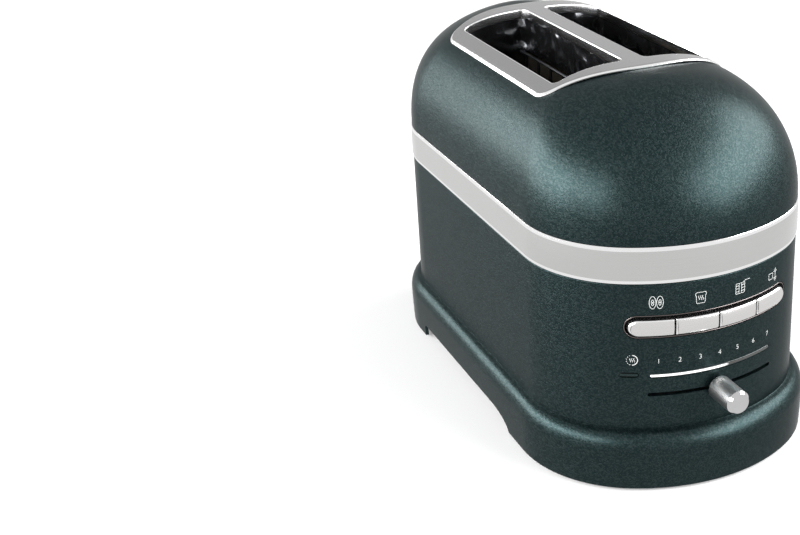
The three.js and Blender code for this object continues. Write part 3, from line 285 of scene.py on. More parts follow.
class FinishColours(PropertyGroup):
    """Colours of the finishes."""

    paint: tint("Paint", "Body paint", "0e1f20")
    fleck: tint("Fleck", "Metallic grain in the paint", "8c9a9a")
    band: tint("Band", "Brushed band", "cccccb")
    trim: tint("Trim", "Brushed plate round the slots", "989898")
    enamel: tint("Enamel", "Glossy black of the slots", "48494b")
    chrome: tint("Chrome", "Polished chrome", "ececec")
    rim: tint("Rim", "Darkened chrome of the recess' rim", "6a6463")
    # The rim's chrome is darkened as painted shade of the recess.
    knob: tint("Knob", "Polished metal of the shade knob", "c4c4c4")
    satin: tint("Satin", "Satin chrome of the buttons", "d6d5d4")
    plastic: tint("Plastic", "Black moulded plastic", "191b1c")
    rubber: tint("Rubber", "Black rubber", "161718")
    steel: tint("Steel", "Bright sheet steel", "b4b9bb")
    wire: tint("Wire", "Wire of the guides and carriers", "4c4f51")
    chamber: tint("Chamber", "Darkened steel of the toasting chamber", "77797b")
    mica: tint("Mica", "Mica of the heater cards", "4a453c")
    ribbon: tint("Ribbon", "Heating ribbon", "6b625c")
    board: tint("Board", "Solder mask of the boards", "1c4a30")
    light: tint("Light", "Lit part of the strip", "ffffff")
    # Painted highlight: the lighter line along the middle of the unlit strip.
    unlit_highlight: tint("Unlit", "Unlit part of the strip", "3f3b39")
    unlit_edge: tint("Unlit edge", "Edges of the unlit strip", "1d2626")
    print_white: tint("Print", "Numbers and pictograms", "e4e8e6")
    floor: tint("Floor", "Floor of the studio", "d8d8d8")


class StudioSizes(PropertyGroup):
    """Camera, lamps and floor."""

    eye: place("Eye", "Place of the camera", (-0.3552, -0.70625, 0.4337))
    azimuth: angle("Azimuth", "Turn of the view from straight behind the panel", -23.06)
    elevation: angle("Elevation", "Tilt of the view above level", 23.08)
    roll: angle("Roll", "Turn of the camera about its own axis", -2.03)
    lens: plain("Lens", "Focal length in millimetres", 61.425)
    shift_x: plain("Shift X", "Sideways shift of the lens", -0.14375)
    shift_y: plain("Shift Y", "Upward shift of the lens", -0.050375)
    floor_span: size("Floor span", "Side of the square floor", 12.0)
    world_strength: plain("World strength", "Level of the even light", 0.4)
    lamp_distance: size("Lamp distance", "Middle of the body to the soft lamps", 1.6)
    left_turn: lamp_turns("Left turn", "Turn, rise and tilt of the left lamp", (-58, 13, 5))
    left_sides: lamp_sides("Left sides", "Width and height of the left lamp", (1.9, 0.85))
    left_power: plain("Left power", "Power of the left lamp in watts", 56)
    front_turn: lamp_turns(
        "Front turn", "Turn, rise and tilt of the lamp at the left front", (-107, 21, 6))
    front_sides: lamp_sides("Front sides", "Width and height of the lamp at the left front", (1.4, 0.75))
    front_power: plain("Front power", "Power of the lamp at the left front in watts", 30)
    right_turn: lamp_turns("Right turn", "Turn, rise and tilt of the right lamp", (121, 29, 13))
    right_sides: lamp_sides("Right sides", "Width and height of the right lamp", (2.6, 0.95))
    right_power: plain("Right power", "Power of the right lamp in watts", 92)
    floor_glow: plain("Floor glow", "Share of plain white in the floor that the camera sees", 0.2)


GROUPS = {
    "toaster_body": BodySizes,
    "toaster_band": BandSizes,
    "toaster_trim": TrimSizes,
    "toaster_panel": PanelSizes,
    "toaster_marks": MarkSizes,
    "toaster_inside": InsideSizes,
    "toaster_colours": FinishColours,
    "toaster_studio": StudioSizes,
}


def forward(operation):
    return lambda signal, other: signal.math(operation, other)


def reflected(operation):
    return lambda signal, other: signal.recipe.math(operation, other, signal)


class Signal:
    """A node socket that takes part in Python sums by adding Math nodes."""

    __add__, __radd__ = forward("ADD"), reflected("ADD")
    __sub__, __rsub__ = forward("SUBTRACT"), reflected("SUBTRACT")
    __mul__, __rmul__ = forward("MULTIPLY"), reflected("MULTIPLY")
    __truediv__, __rtruediv__ = forward("DIVIDE"), reflected("DIVIDE")
    __pow__ = forward("POWER")
    __lt__, __gt__ = forward("LESS_THAN"), forward("GREATER_THAN")

    def __init__(self, recipe, socket):
        self.recipe = recipe
        self.socket = socket

    def __neg__(self):
        return self * -1

    def output(self, name):
        return Signal(self.recipe, self.socket.node.outputs[name])

    def math(self, operation, *others):
        return self.recipe.math(operation, self, *others)


class Recipe:
    """Builds the nodes of one material or of one Geometry Nodes tree."""

    def __init__(self, tree):
        self.tree = tree

    def add(self, kind, settings=None, inputs=None, output=0):
        """Adds a node, its settings first and then its sockets, and gives one of its outputs."""
        node = self.tree.nodes.new(kind)
        for name, value in (settings or {}).items():
            if name == "stops":
                self.set_stops(node.color_ramp, value)
            else:
                setattr(node, name, value)
        for name, value in (inputs or {}).items():
            if isinstance(value, Signal):
                self.tree.links.new(value.socket, node.inputs[name])
            else:
                node.inputs[name].default_value = value
        return Signal(self, node.outputs[output]) if len(node.outputs) else None

    def math(self, operation, *values):
        return self.add("ShaderNodeMath", {"operation": operation}, dict(enumerate(values)))

    @staticmethod
    def set_stops(ramp, stops):
        while len(ramp.elements) < len(stops):
            ramp.elements.new(1)
        for element, (position, level) in zip(ramp.elements, stops):
            element.position = position
            element.color = (level, level, level, 1)


class GeometryRecipe(Recipe):
    """A Geometry Nodes tree with named inputs: numbers, those of a given kind, and a material."""

    def __init__(self, name, numbers=(), **kinds):
        super().__init__(bpy.data.node_groups.new(name, "GeometryNodeTree"))
        face = self.tree.interface
        face.new_socket("Geometry", in_out="OUTPUT", socket_type="NodeSocketGeometry")
        face.new_socket("Geometry", in_out="INPUT", socket_type="NodeSocketGeometry")
        for label, kind in (dict.fromkeys(numbers, "Float") | kinds | {"Material": "Material"}).items():
            face.new_socket(label, in_out="INPUT", socket_type=f"NodeSocket{kind}")
        self.entry = self.add("NodeGroupInput")

    def given(self, *labels):
        """The named input, or a list of several."""
        signals = [self.entry.output(label) for label in labels]
        return signals if len(signals) > 1 else signals[0]

    def vector(self, x=0, y=0, z=0):
        return self.add("ShaderNodeCombineXYZ", inputs={"X": x, "Y": y, "Z": z})

    def joined(self, *parts):
        signal = self.add("GeometryNodeJoinGeometry")
        for part in parts:
            self.tree.links.new(part.socket, signal.socket.node.inputs[0])
        return signal

    def wire(self, start, end, radius):
        """A round wire with closed ends between two points."""
        path = self.add("GeometryNodeCurvePrimitiveLine", inputs={"Start": start, "End": end})
        section = self.add("GeometryNodeCurvePrimitiveCircle", inputs={
            "Resolution": 16, "Radius": radius})
        return self.swept(path, section)

    def swept(self, path, section):
        return self.add("GeometryNodeCurveToMesh", inputs={
            "Curve": path, "Profile Curve": section, "Fill Caps": True})

    def painted(self, geometry, material="Material"):
        """Real geometry in the named finish."""
        real = self.add("GeometryNodeRealizeInstances", inputs={"Geometry": geometry})
        return self.add("GeometryNodeSetMaterial", inputs={
            "Geometry": real, "Material": self.given(material)})

    def deliver(self, geometry):
        """Ends the tree."""
        self.add("NodeGroupOutput", inputs={"Geometry": geometry})
        return self

    def grow(self, piece, values):
        """Runs the tree on a piece and leaves it as a plain mesh."""
        modifier = piece.modifiers.new(self.tree.name, "NODES")
        modifier.node_group = self.tree
        for item in self.tree.interface.items_tree:
            if item.in_out == "INPUT" and item.name in values:
                modifier[item.identifier] = values[item.name]
        settle(piece)


class MaterialRecipe(Recipe):
    """A material on Object coordinates with one Principled shader."""

    def __init__(self, name):
        self.material = bpy.data.materials.get(name) or bpy.data.materials.new(name)
        self.material.use_nodes = True
        super().__init__(self.material.node_tree)
        self.tree.nodes.clear()
        self.place = self.add("ShaderNodeTexCoord").output("Object")

    def stretched(self, scale):
        return self.add("ShaderNodeMapping", inputs={"Vector": self.place, "Scale": scale})

    def noise(self, cell, detail=3, roughness=0.5, along=None):
        """Noise with cells of that size, or drawn out along the axes with small scales."""
        place = self.place if along is None else self.stretched(along)
        return self.add("ShaderNodeTexNoise", inputs={
            "Vector": place, "Scale": 1 / cell, "Detail": detail, "Roughness": roughness})

    def cells(self, cell, along=(1, 1, 1)):
        """A level for each cell of that size, between 0 and 1."""
        split = self.add("ShaderNodeTexVoronoi", inputs={
            "Vector": self.stretched(along), "Scale": 1 / cell}).output("Color")
        return self.add("ShaderNodeSeparateColor", inputs={"Color": split})

    def ramp(self, value, *stops):
        return self.add("ShaderNodeValToRGB", {"stops": stops}, {"Fac": value})

    def blend(self, share, low, high):
        """A colour between two others, through the colour sockets of a Mix node."""
        low, high = (colour if isinstance(colour, Signal) else (*colour, 1) for colour in (low, high))
        return self.add("ShaderNodeMix", {"data_type": "RGBA"}, {0: share, 6: low, 7: high}, output=2)

    def shaded(self, share, colour, low, high=1.0):
        """A colour between two levels of itself."""
        return self.blend(share, scaled(colour, low), scaled(colour, high))

    def height_share(self, middle, height):
        """How far from a middle height a place lies, as a share of half the height."""
        z = self.add("ShaderNodeSeparateXYZ", inputs={"Vector": self.place}).output("Z")
        return (z - middle).math("ABSOLUTE") / (height / 2)

    def bump(self, height, depth, strength=1.0):
        return self.add("ShaderNodeBump", inputs={
            "Strength": strength, "Distance": depth, "Height": height})

    def surface(self, **sockets):
        """Ends the material. Names are the shader's, with underscores for spaces."""
        inputs = {name.replace("_", " "): value for name, value in sockets.items()}
        return self.ended(self.add("ShaderNodeBsdfPrincipled", inputs=inputs))

    def ended(self, shader):
        self.add("ShaderNodeOutputMaterial", inputs={"Surface": shader})
        return self.material


def colours():
    return bpy.context.scene.toaster_colours


def scaled(colour, factor, lift=0.0):
    """A colour made lighter or darker."""
    return tuple(factor * level + lift for level in colour)


def paint_finish():
    """Satin paint with a fine metallic grain."""
    recipe = MaterialRecipe("green_paint")
    drawn = (1, 0.45, 1)
    flakes = recipe.cells(cell=0.0006, along=drawn)
    grain = recipe.noise(cell=0.0009, detail=3, roughness=0.6, along=drawn)
    mottle = recipe.noise(cell=0.0026, detail=3, roughness=0.7, along=drawn)
    sparkle = recipe.ramp(
        flakes * 0.4 + grain * 0.3 + mottle * 0.3, (0.36, 0.0), (0.50, 0.3), (0.66, 1.0))
    cloud = recipe.noise(cell=0.035, detail=2)
    share = sparkle * 0.055 + cloud * 0.01
    tone = recipe.blend(share, colours().paint, colours().fleck)
    return recipe.surface(
        Base_Color=tone, Metallic=0.85, Roughness=0.30 + sparkle * 0.06, Specular_IOR_Level=0.3,
        Specular_Tint=(0.5, 0.5, 0.5, 1), Coat_Weight=0.12, Coat_Roughness=0.34,
        Normal=recipe.bump(grain * 0.7 + flakes * 0.3, depth=0.00018, strength=0.8))


def brushed_finish(name, colour, along, roughness, depth=0.00002):
    """Satin metal with fine scratches along one direction."""
    recipe = MaterialRecipe(name)
    strokes = recipe.noise(cell=1.0, detail=4, roughness=0.7, along=along)
    patches = recipe.noise(cell=0.03, detail=2)
    tone = recipe.shaded(strokes * 0.5 + patches * 0.15, colour, low=0.82)
    return recipe.surface(
        Base_Color=tone, Metallic=1.0, Roughness=roughness + strokes * 0.12,
        Normal=recipe.bump(strokes, depth, strength=0.5))


def band_finish():
    return brushed_finish("brushed_band", colours().band, along=(12, 12, 4200), roughness=0.15)


def trim_finish():
    return brushed_finish("brushed_trim", colours().trim, along=(3600, 14, 3600), roughness=0.18)


def enamel_finish():
    """Glossy black enamel over sheet that isn't quite flat."""
    recipe = MaterialRecipe("black_enamel")
    peel = recipe.noise(cell=0.016, detail=1)
    dust = recipe.noise(cell=0.0012, detail=2)
    tone = recipe.shaded(dust, colours().enamel, low=1.0, high=1.5)
    return recipe.surface(Base_Color=tone, Metallic=0.95, Roughness=0.12 + dust * 0.08,
                          Normal=recipe.bump(peel, depth=0.0080, strength=0.9))


def shaded_finish(name, colour, shades, cell, metal, roughness, spread, detail=3, fineness=0.5):
    """A finish whose tone, between two shades of a colour, and gloss follow one noise."""
    recipe = MaterialRecipe(name)
    noise = recipe.noise(cell, detail, fineness)
    tone = recipe.shaded(noise, colour, *shades)
    return recipe.surface(Base_Color=tone, Metallic=metal, Roughness=roughness + noise * spread)


def chrome_finish(name, colour=None, roughness=0.05):
    """Chrome plate with faint wipe marks."""
    return shaded_finish(name, colour or colours().chrome, shades=(0.93, 1.0), cell=0.006, metal=1.0,
                         roughness=roughness, spread=0.05, detail=4, fineness=0.6)


def satin_finish():
    """Satin chrome with level scratches."""
    recipe = MaterialRecipe("satin_chrome")
    strokes = recipe.noise(cell=1.0, detail=3, roughness=0.6, along=(60, 60, 3000))
    tone = recipe.shaded(strokes, colours().satin, low=0.9)
    return recipe.surface(Base_Color=tone, Metallic=1.0, Roughness=0.20 + strokes * 0.08,
                          Normal=recipe.bump(strokes, depth=0.00001, strength=0.3))


def moulded_finish(name, colour, roughness, cell=0.0007, depth=0.00008):
    """Moulded plastic or rubber with an even grain."""
    recipe = MaterialRecipe(name)
    grain = recipe.noise(cell, detail=2)
    wear = recipe.noise(cell=0.02, detail=3)
    tone = recipe.blend(wear, colour, scaled(colour, 1.35, lift=0.004))
    return recipe.surface(Base_Color=tone, Roughness=roughness + grain * 0.12,
                          Normal=recipe.bump(grain, depth, strength=0.5))


def steel_finish():
    """Bright rolled sheet with a faint spangle and a straw tint where it runs hot."""
    recipe = MaterialRecipe("sheet_steel")
    spangle = recipe.add("ShaderNodeTexVoronoi", inputs={"Vector": recipe.place, "Scale": 260.0})
    rolled = recipe.noise(cell=1.0, detail=3, along=(40, 900, 40))
    heat = recipe.noise(cell=0.05, detail=2)
    tone = recipe.shaded(spangle * 0.35 + rolled * 0.3, colours().steel, low=0.72)
    warm = recipe.blend(heat * 0.4, tone, (0.38, 0.30, 0.20))
    return recipe.surface(Base_Color=warm, Metallic=1.0, Roughness=0.26 + rolled * 0.14,
                          Normal=recipe.bump(rolled, depth=0.00002, strength=0.4))


def chamber_finish():
    """Sheet that heat has darkened and left glossy."""
    recipe = MaterialRecipe("chamber_steel")
    rolled = recipe.noise(cell=1.0, detail=3, along=(40, 260, 40))
    heat = recipe.noise(cell=0.03, detail=3)
    tone = recipe.shaded(heat, colours().chamber, low=0.4)
    return recipe.surface(Base_Color=tone, Metallic=1.0, Roughness=0.10 + rolled * 0.12,
                          Normal=recipe.bump(heat, depth=0.0070, strength=0.8))


def wire_finish():
    """Drawn wire, darkened by heat."""
    return shaded_finish("drawn_wire", colours().wire, shades=(0.45, 1.0), cell=0.005, metal=1.0,
                         roughness=0.25, spread=0.2)


def mica_finish():
    """Flaked mica sheet."""
    recipe = MaterialRecipe("mica_sheet")
    flakes = recipe.add("ShaderNodeTexVoronoi", inputs={"Vector": recipe.place, "Scale": 180.0})
    speck = recipe.noise(cell=0.002, detail=4)
    tone = recipe.shaded(flakes * 0.6 + speck * 0.4, colours().mica, low=0.55)
    return recipe.surface(Base_Color=tone, Roughness=0.32 + speck * 0.3, Coat_Weight=0.2,
                          Normal=recipe.bump(flakes, depth=0.00006, strength=0.5))


def ribbon_finish():
    """Resistance ribbon under a coat of oxide."""
    return shaded_finish("heating_ribbon", colours().ribbon, shades=(0.5, 1.0), cell=0.004, metal=0.9,
                         roughness=0.4, spread=0.2)


def board_finish():
    """Solder mask over copper tracks."""
    recipe = MaterialRecipe("circuit_board")
    tracks = recipe.add("ShaderNodeTexBrick", {"offset": 0.37, "squash": 1.0}, {
        "Vector": recipe.add("ShaderNodeMapping", inputs={
            "Vector": recipe.place, "Rotation": (math.pi / 2, 0, 0), "Scale": (90, 90, 90)}),
        "Scale": 1.0, "Mortar Size": 0.05, "Mortar Smooth": 0.2}).output("Fac")
    tone = recipe.blend(tracks * 0.6, colours().board, scaled(colours().board, 1.9, lift=0.01))
    return recipe.surface(Base_Color=tone, Roughness=0.4 + tracks * 0.1,
                          Normal=recipe.bump(tracks, depth=0.00004, strength=0.4))


def light_finish(panel):
    """The strip: bright up to the chosen number, with a lamp behind each step, and dim past it, with a
    painted highlight along the middle of the dim part.
    """
    recipe = MaterialRecipe("light_strip")
    x = recipe.add("ShaderNodeSeparateXYZ", inputs={"Vector": recipe.place}).output("X")
    fade = 0.004  # length over which the light dies away
    lit = recipe.ramp((x - panel.lit_end) / fade + 0.5, (0.0, 1.0), (1.0, 0.0))
    wave = (x / panel.lamp_pitch * (2 * math.pi)).math("COSINE")
    beads = 0.80 + wave * 0.20
    height = recipe.height_share(panel.light_z, panel.light_height)
    core = recipe.ramp(height, (0.15, 1.0), (0.75, 0.0))
    # Painted highlight: a lighter line along the middle of the unlit strip; the rest keeps the strip's own
    # dark tone.
    line = recipe.ramp(height, (0.05, 1.0), (0.4, 0.0))
    dim_and_highlight = recipe.blend(line, colours().unlit_edge, colours().unlit_highlight)
    tone = recipe.blend(lit * core, dim_and_highlight, colours().light)
    glow = recipe.blend(lit * beads * core, (0.0, 0.0, 0.0), colours().light)
    return recipe.surface(Base_Color=tone, Roughness=0.35, Emission_Color=glow, Emission_Strength=1.0)


def window_finish(panel):
    """Smoked window with a dark edge."""
    recipe = MaterialRecipe("smoked_window")
    cloud = recipe.noise(cell=0.004, detail=2)
    height = recipe.height_share(panel.indicator_z, panel.indicator_height)
    middle = recipe.ramp(height, (0.3, 1.0), (0.7, 0.0))
    tone = recipe.blend(middle * (0.7 + cloud * 0.3), (0.001, 0.002, 0.002), (0.014, 0.024, 0.024))
    return recipe.surface(Base_Color=tone, Roughness=0.3 + cloud * 0.05, Specular_IOR_Level=0.08)


def print_finish():
    """Thin white ink that the paint shows through."""
    return shaded_finish("white_print", colours().print_white, shades=(0.5, 0.62), cell=0.0004,
                         metal=0.0, roughness=0.5, spread=0.1, detail=2)


def mirrored_ray(rays):
    """Whether metal or glass sends the ray."""
    return rays.output("Is Glossy Ray").math("MAXIMUM", rays.output("Is Transmission Ray"))


def floor_finish(studio):
    """Pale floor that keeps the object's shadow, and is plain white in reflections."""
    recipe = MaterialRecipe("studio_floor")
    sweep = recipe.noise(cell=0.8, detail=1)
    matte = recipe.add("ShaderNodeBsdfDiffuse", inputs={
        "Color": recipe.shaded(sweep, colours().floor, low=0.99)})
    white = recipe.add("ShaderNodeEmission", inputs={"Color": (1, 1, 1, 1), "Strength": 1.0})
    rays = recipe.add("ShaderNodeLightPath")
    seen = (rays.output("Is Camera Ray") * studio.floor_glow).math("MAXIMUM", mirrored_ray(rays))
    return recipe.ended(recipe.add("ShaderNodeMixShader", inputs={0: seen, 1: matte, 2: white}))


class Shape:
    """Collects points and faces, about the middle of the body."""

    def __init__(self):
        self.points = []
        self.faces = []

    def ring(self, points):
        start = len(self.points)
        self.points.extend(points)
        return list(range(start, len(self.points)))

    def span(self, low, high):
        """Quads between two rings of equal counts."""
        for i in range(len(low)):
            j = (i + 1) % len(low)
            self.faces.append((low[i], low[j], high[j], high[i]))

    def loft(self, rings, closed=False, capped=False):
        """Skins rings in turn, and closes the loft on itself or with a face at each end."""
        placed = [self.ring(points) for points in rings]
        for low, high in zip(placed, placed[1:]):
            self.span(low, high)
        if closed:
            self.span(placed[-1], placed[0])
        if capped:
            self.faces.append(tuple(reversed(placed[0])))
            self.faces.append(tuple(placed[-1]))

    def prism(self, outline, low, high, place):
        """An outline run between two depths, where place turns (a, b, depth) into a point."""
        self.loft([[place(a, b, depth) for a, b in outline] for depth in (low, high)], capped=True)

    def skin(self, outline, holes, pitch, place):
        """Triangles over a flat region, where place turns (a, b) into a point."""
        border = [outline, *holes]
        flat = [Vector(p) for loop in border for p in loop]
        edges = []
        start = 0
        for loop in border:
            edges += [(start + i, start + (i + 1) % len(loop)) for i in range(len(loop))]
            start += len(loop)
        flat += [Vector(p) for p in grid_inside(outline, holes, pitch)]
        points, _, triangles, *_ = delaunay_2d_cdt(flat, edges, [], 0, 1e-8)
        start = len(self.points)
        self.points.extend(place(p.x, p.y) for p in points)
        for triangle in triangles:
            middle = sum((points[i] for i in triangle), Vector((0, 0))) / 3
            if within(middle, outline) and not any(within(middle, hole) for hole in holes):
                self.faces.append(tuple(start + i for i in triangle))

    def mesh(self, name):
        """A welded mesh in the row frame with its faces outwards."""
        mesh = bpy.data.meshes.new(name)
        middle = body_middle()
        mesh.from_pydata([(x, y + middle, z) for x, y, z in self.points], [], self.faces)
        weld(mesh)
        return mesh


def weld(mesh):
    tidy = bmesh.new()
    tidy.from_mesh(mesh)
    bmesh.ops.remove_doubles(tidy, verts=tidy.verts, dist=WELD)
    bmesh.ops.recalc_face_normals(tidy, faces=tidy.faces)
    tidy.to_mesh(mesh)
    tidy.free()


def joined_meshes(name, meshes):
    """One mesh of several, which are used up."""
    tidy = bmesh.new()
    for mesh in meshes:
        tidy.from_mesh(mesh)
    joined = bpy.data.meshes.new(name)
    tidy.to_mesh(joined)
    tidy.free()
    return joined


def within(point, outline):
    """Whether a flat point lies inside an outline."""
    x, y = point
    inside = False
    for (x0, y0), (x1, y1) in zip(outline, [*outline[1:], outline[0]]):
        if (y0 > y) != (y1 > y) and x < x0 + (y - y0) * (x1 - x0) / (y1 - y0):
            inside = not inside
    return inside


def grid_inside(outline, holes, pitch):
    """Points of a square grid that lie inside an outline and clear of its holes."""
    xs = [x for x, _ in outline]
    ys = [y for _, y in outline]
    points = []
    for i in range(1, math.ceil((max(xs) - min(xs)) / pitch)):
        for j in range(1, math.ceil((max(ys) - min(ys)) / pitch)):
            point = (min(xs) + i * pitch, min(ys) + j * pitch)
            if within(point, outline) and not any(within(point, hole) for hole in holes):
                points.append(point)
    return points


def new_piece(name, mesh):
    piece = bpy.data.objects.new(name, mesh)
    bpy.context.scene.collection.objects.link(piece)
    return piece


def settle(piece):
    """Turns a piece and its modifiers into one plain mesh."""
    graph = bpy.context.evaluated_depsgraph_get()
    mesh = bpy.data.meshes.new_from_object(
        piece.evaluated_get(graph), preserve_all_data_layers=True, depsgraph=graph)
    before = piece.data
    piece.modifiers.clear()
    piece.data = mesh
    bpy.data.meshes.remove(before)


def carve(piece, shape, operation="DIFFERENCE"):
    """Cuts a shape out of a piece, or keeps only what lies in it."""
    cutter = new_piece("cutter", shape.mesh("cutter"))
    modifier = piece.modifiers.new("carve", "BOOLEAN")
    modifier.solver = "EXACT"
    modifier.operation = operation
    modifier.object = cutter
    settle(piece)
    discard(cutter)


def discard(piece):
    mesh = piece.data
    bpy.data.objects.remove(piece)
    bpy.data.meshes.remove(mesh)


def fine_piece(node, shape, body, material, crease=SMOOTH_ANGLE):
    """A finished piece from a shape, which stands for the node that it is named after."""
    piece = new_piece(f"{node}_fine", shape.mesh(f"{node}_fine"))
    dress(piece, body, material, [node], crease)
    return piece


def dress(piece, body, material, nodes=(), crease=SMOOTH_ANGLE):
    """Gives a piece its material, and then what finish_piece gives."""
    piece.data.materials.clear()
    piece.data.materials.append(material)
    finish_piece(piece, body, nodes, crease)


def finish_piece(piece, body, nodes=(), crease=SMOOTH_ANGLE):
    """Gives a piece its smooth faces, its body and the nodes that it stands for."""
    piece.data.shade_smooth()
    piece.data.set_sharp_from_angle(angle=crease)
    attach(piece, body)
    if nodes:
        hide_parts(*nodes)


def polish(piece, bright, material=None):
    """Gives the faces that a test picks a polished finish of their own."""
    piece.data.materials.append(material or chrome_finish("polished_edge", roughness=0.12))
    for face in piece.data.polygons:
        if bright(face):
            face.material_index = len(piece.data.materials) - 1


def body_middle():
    """The row frame's Y at the middle of the body."""
    return SHELL_HIGH.y - bpy.context.scene.toaster_body.back_reach


def middle_of(node):
    """The middle of a node's box in the row frame."""
    low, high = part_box(node)
    return (low + high) / 2


def arc(centre, radius, start, end, steps):
    """Points of an arc between two turns, with both ends."""
    turns = (start + i * ((end - start) / steps) for i in range(steps + 1))
    return [(centre[0] + radius * math.cos(turn), centre[1] + radius * math.sin(turn)) for turn in turns]


def circle(radius, steps):
    """Points round the origin, the last one short of the first."""
    turns = (2 * math.pi * i / steps for i in range(steps))
    return [(radius * math.cos(turn), radius * math.sin(turn)) for turn in turns]


def bowed_plan(half_width, ends, bow_steps, corner_steps, side_steps=1):
    """A closed outline with straight sides and a bow between round corners at each end.

    Each end gives its reach, its bow's radius and its corners' radius, the front one first.
    """
    right = []
    for direction, (reach, bow, corner) in zip((-1, 1), ends):
        corner_x = half_width - corner
        drop = math.sqrt((bow - corner) ** 2 - corner_x ** 2)
        spread = math.atan2(corner_x, drop)
        bow_centre = (0, direction * (reach - bow))
        corner_centre = (corner_x, bow_centre[1] + direction * drop)
        edge = direction * (math.pi / 2 - spread)
        run = arc(bow_centre, bow, direction * math.pi / 2, edge, bow_steps)[:-1]
        run += arc(corner_centre, corner, edge, 0, corner_steps)
        if direction < 0:
            right += run
        else:
            start, end = right[-1], run[-1]
            right += [(start[0], start[1] + (end[1] - start[1]) * i / side_steps)
                      for i in range(1, side_steps)]
            right += run[::-1]
    return right + [(-x, y) for x, y in right[-2:0:-1]]


def body_plan(side_growth, end_growth):
    """The body's plan, grown by one amount at the sides and another at the ends."""
    body = bpy.context.scene.toaster_body
    radii = (body.bow_radius + side_growth, body.corner_radius + side_growth)
    front = (front_reach() + end_growth, *radii)
    back = (body.back_reach + end_growth, *radii)
    return bowed_plan(
        SHELL_HIGH.x + side_growth, (front, back), body.bow_steps, body.corner_steps, body.side_steps)


def front_reach():
    return body_middle() - SHELL_LOW.y


def at_height(outline, z):
    return [(x, y, z) for x, y in outline]


def flare_share(z):
    """The share of its flare that the foot has at a height: a round shoulder under a small fillet."""
    body = bpy.context.scene.toaster_body
    if z >= body.flare_top:
        return 0.0
    if z < body.flare_shoulder:
        return 1 - body.flare_tuck * ((body.flare_shoulder - z) / body.flare_shoulder) ** 2
    start = body.flare_fillet
    spread = 2 * (1 - start ** 2) / start
    climb = (z - body.flare_shoulder) / (body.flare_top - body.flare_shoulder) * (start + spread)
    if climb < start:
        return math.sqrt(1 - climb ** 2)
    return math.sqrt(1 - start ** 2) * (1 - (climb - start) / spread) ** 2


def housing_ring(inset, z):
    share = flare_share(z)
    side = (HOUSING_HIGH.x - SHELL_HIGH.x) * share
    end = (HOUSING_HIGH.y - SHELL_HIGH.y) * share
    return at_height(body_plan(side - inset, end - inset), z)


def front_bend():
    """How the front's bow meets its corners.

    Gives the corner's centre in x and its distance ahead of the bow's centre, half the angle that the
    bow spans, and the bow's centre in y.
    """
    body = bpy.context.scene.toaster_body
    corner_x = SHELL_HIGH.x - body.corner_radius
    drop = math.sqrt((body.bow_radius - body.corner_radius) ** 2 - corner_x ** 2)
    return corner_x, drop, math.atan2(corner_x, drop), body.bow_radius - front_reach()


def front_place(x, z, growth=0.0):
    """The point of the bowed front at x and z, that far out of its surface."""
    body = bpy.context.scene.toaster_body
    corner_x, drop, spread, centre_y = front_bend()
    bow = body.bow_radius + growth
    if abs(x) <= bow * math.sin(spread):
        return (x, centre_y - math.sqrt(bow ** 2 - x ** 2), z)
    corner = body.corner_radius + growth
    return (x, centre_y - drop - math.sqrt(corner ** 2 - (abs(x) - corner_x) ** 2), z)


def front_growth(point):
    """How far a point stands out of the front's bow."""
    radius = bpy.context.scene.toaster_body.bow_radius
    return math.hypot(point.x, point.y - SHELL_LOW.y - radius) - radius


def along_front(distance, z, lift):
    """The point of the front that lies a distance along its bow from the middle."""
    body = bpy.context.scene.toaster_body
    corner_x, drop, spread, centre_y = front_bend()
    turn = abs(distance) / body.bow_radius
    side = math.copysign(1, distance)
    if turn <= spread:
        reach = body.bow_radius + lift
        return (side * reach * math.sin(turn), centre_y - reach * math.cos(turn), z)
    turn = spread + (abs(distance) - spread * body.bow_radius) / body.corner_radius
    reach = body.corner_radius + lift
    return (side * (corner_x + reach * math.sin(turn)), centre_y - drop - reach * math.cos(turn), z)


def stadium(x, z, half_length, height, steps, pitch=0.001):
    """A bar shape with round ends, with points along its straight sides too."""
    radius = height / 2
    straight = half_length - radius
    right = arc((x + straight, z), radius, -math.pi / 2, math.pi / 2, steps)
    left = arc((x - straight, z), radius, math.pi / 2, math.pi * 1.5, steps)
    stops = max(2, round(straight / pitch))
    top = [(x + straight - 2 * straight * i / stops, z + radius) for i in range(1, stops)]
    bottom = [(x - straight + 2 * straight * i / stops, z - radius) for i in range(1, stops)]
    return right + top + left + bottom


def rounded_rectangle(x0, x1, y0, y1, radius, steps, pitch=0.002):
    """A rectangle with round corners and points along its sides."""
    corners = (
        arc((x1 - radius, y0 + radius), radius, -math.pi / 2, 0, steps),
        arc((x1 - radius, y1 - radius), radius, 0, math.pi / 2, steps),
        arc((x0 + radius, y1 - radius), radius, math.pi / 2, math.pi, steps),
        arc((x0 + radius, y0 + radius), radius, math.pi, math.pi * 1.5, steps))
    points = []
    for here, after in zip(corners, corners[1:] + corners[:1]):
        points += here
        start, end = Vector(here[-1]), Vector(after[0])
        stops = max(1, round((end - start).length / pitch))
        points += [tuple(start.lerp(end, i / stops)) for i in range(1, stops)]
    return points


def inset_outline(outline, amount):
    """An anticlockwise outline drawn in by an amount along its corners' own bisectors."""
    moved = []
    for i, point in enumerate(outline):
        here = Vector(point)
        arrive = (here - Vector(outline[i - 1])).normalized()
        leave = (Vector(outline[(i + 1) % len(outline)]) - here).normalized()
        inward = Vector((-arrive.y - leave.y, arrive.x + leave.x)).normalized()
        spread = max(0.5, inward.dot(Vector((-leave.y, leave.x))))
        moved.append(tuple(here + inward * (amount / spread)))
    return moved


def rounding(size_in, size_down, steps):
    """Shares of a quarter round: how far in and how far down each of its rings lies."""
    return [(size_in * (1 - math.cos(a)), size_down * (1 - math.sin(a)))
            for a in (math.pi / 2 * i / steps for i in range(steps + 1))]


class ToasterOperator(Operator):
    """Builds one group of the toaster's pieces."""

    bl_options = {"REGISTER", "UNDO"}


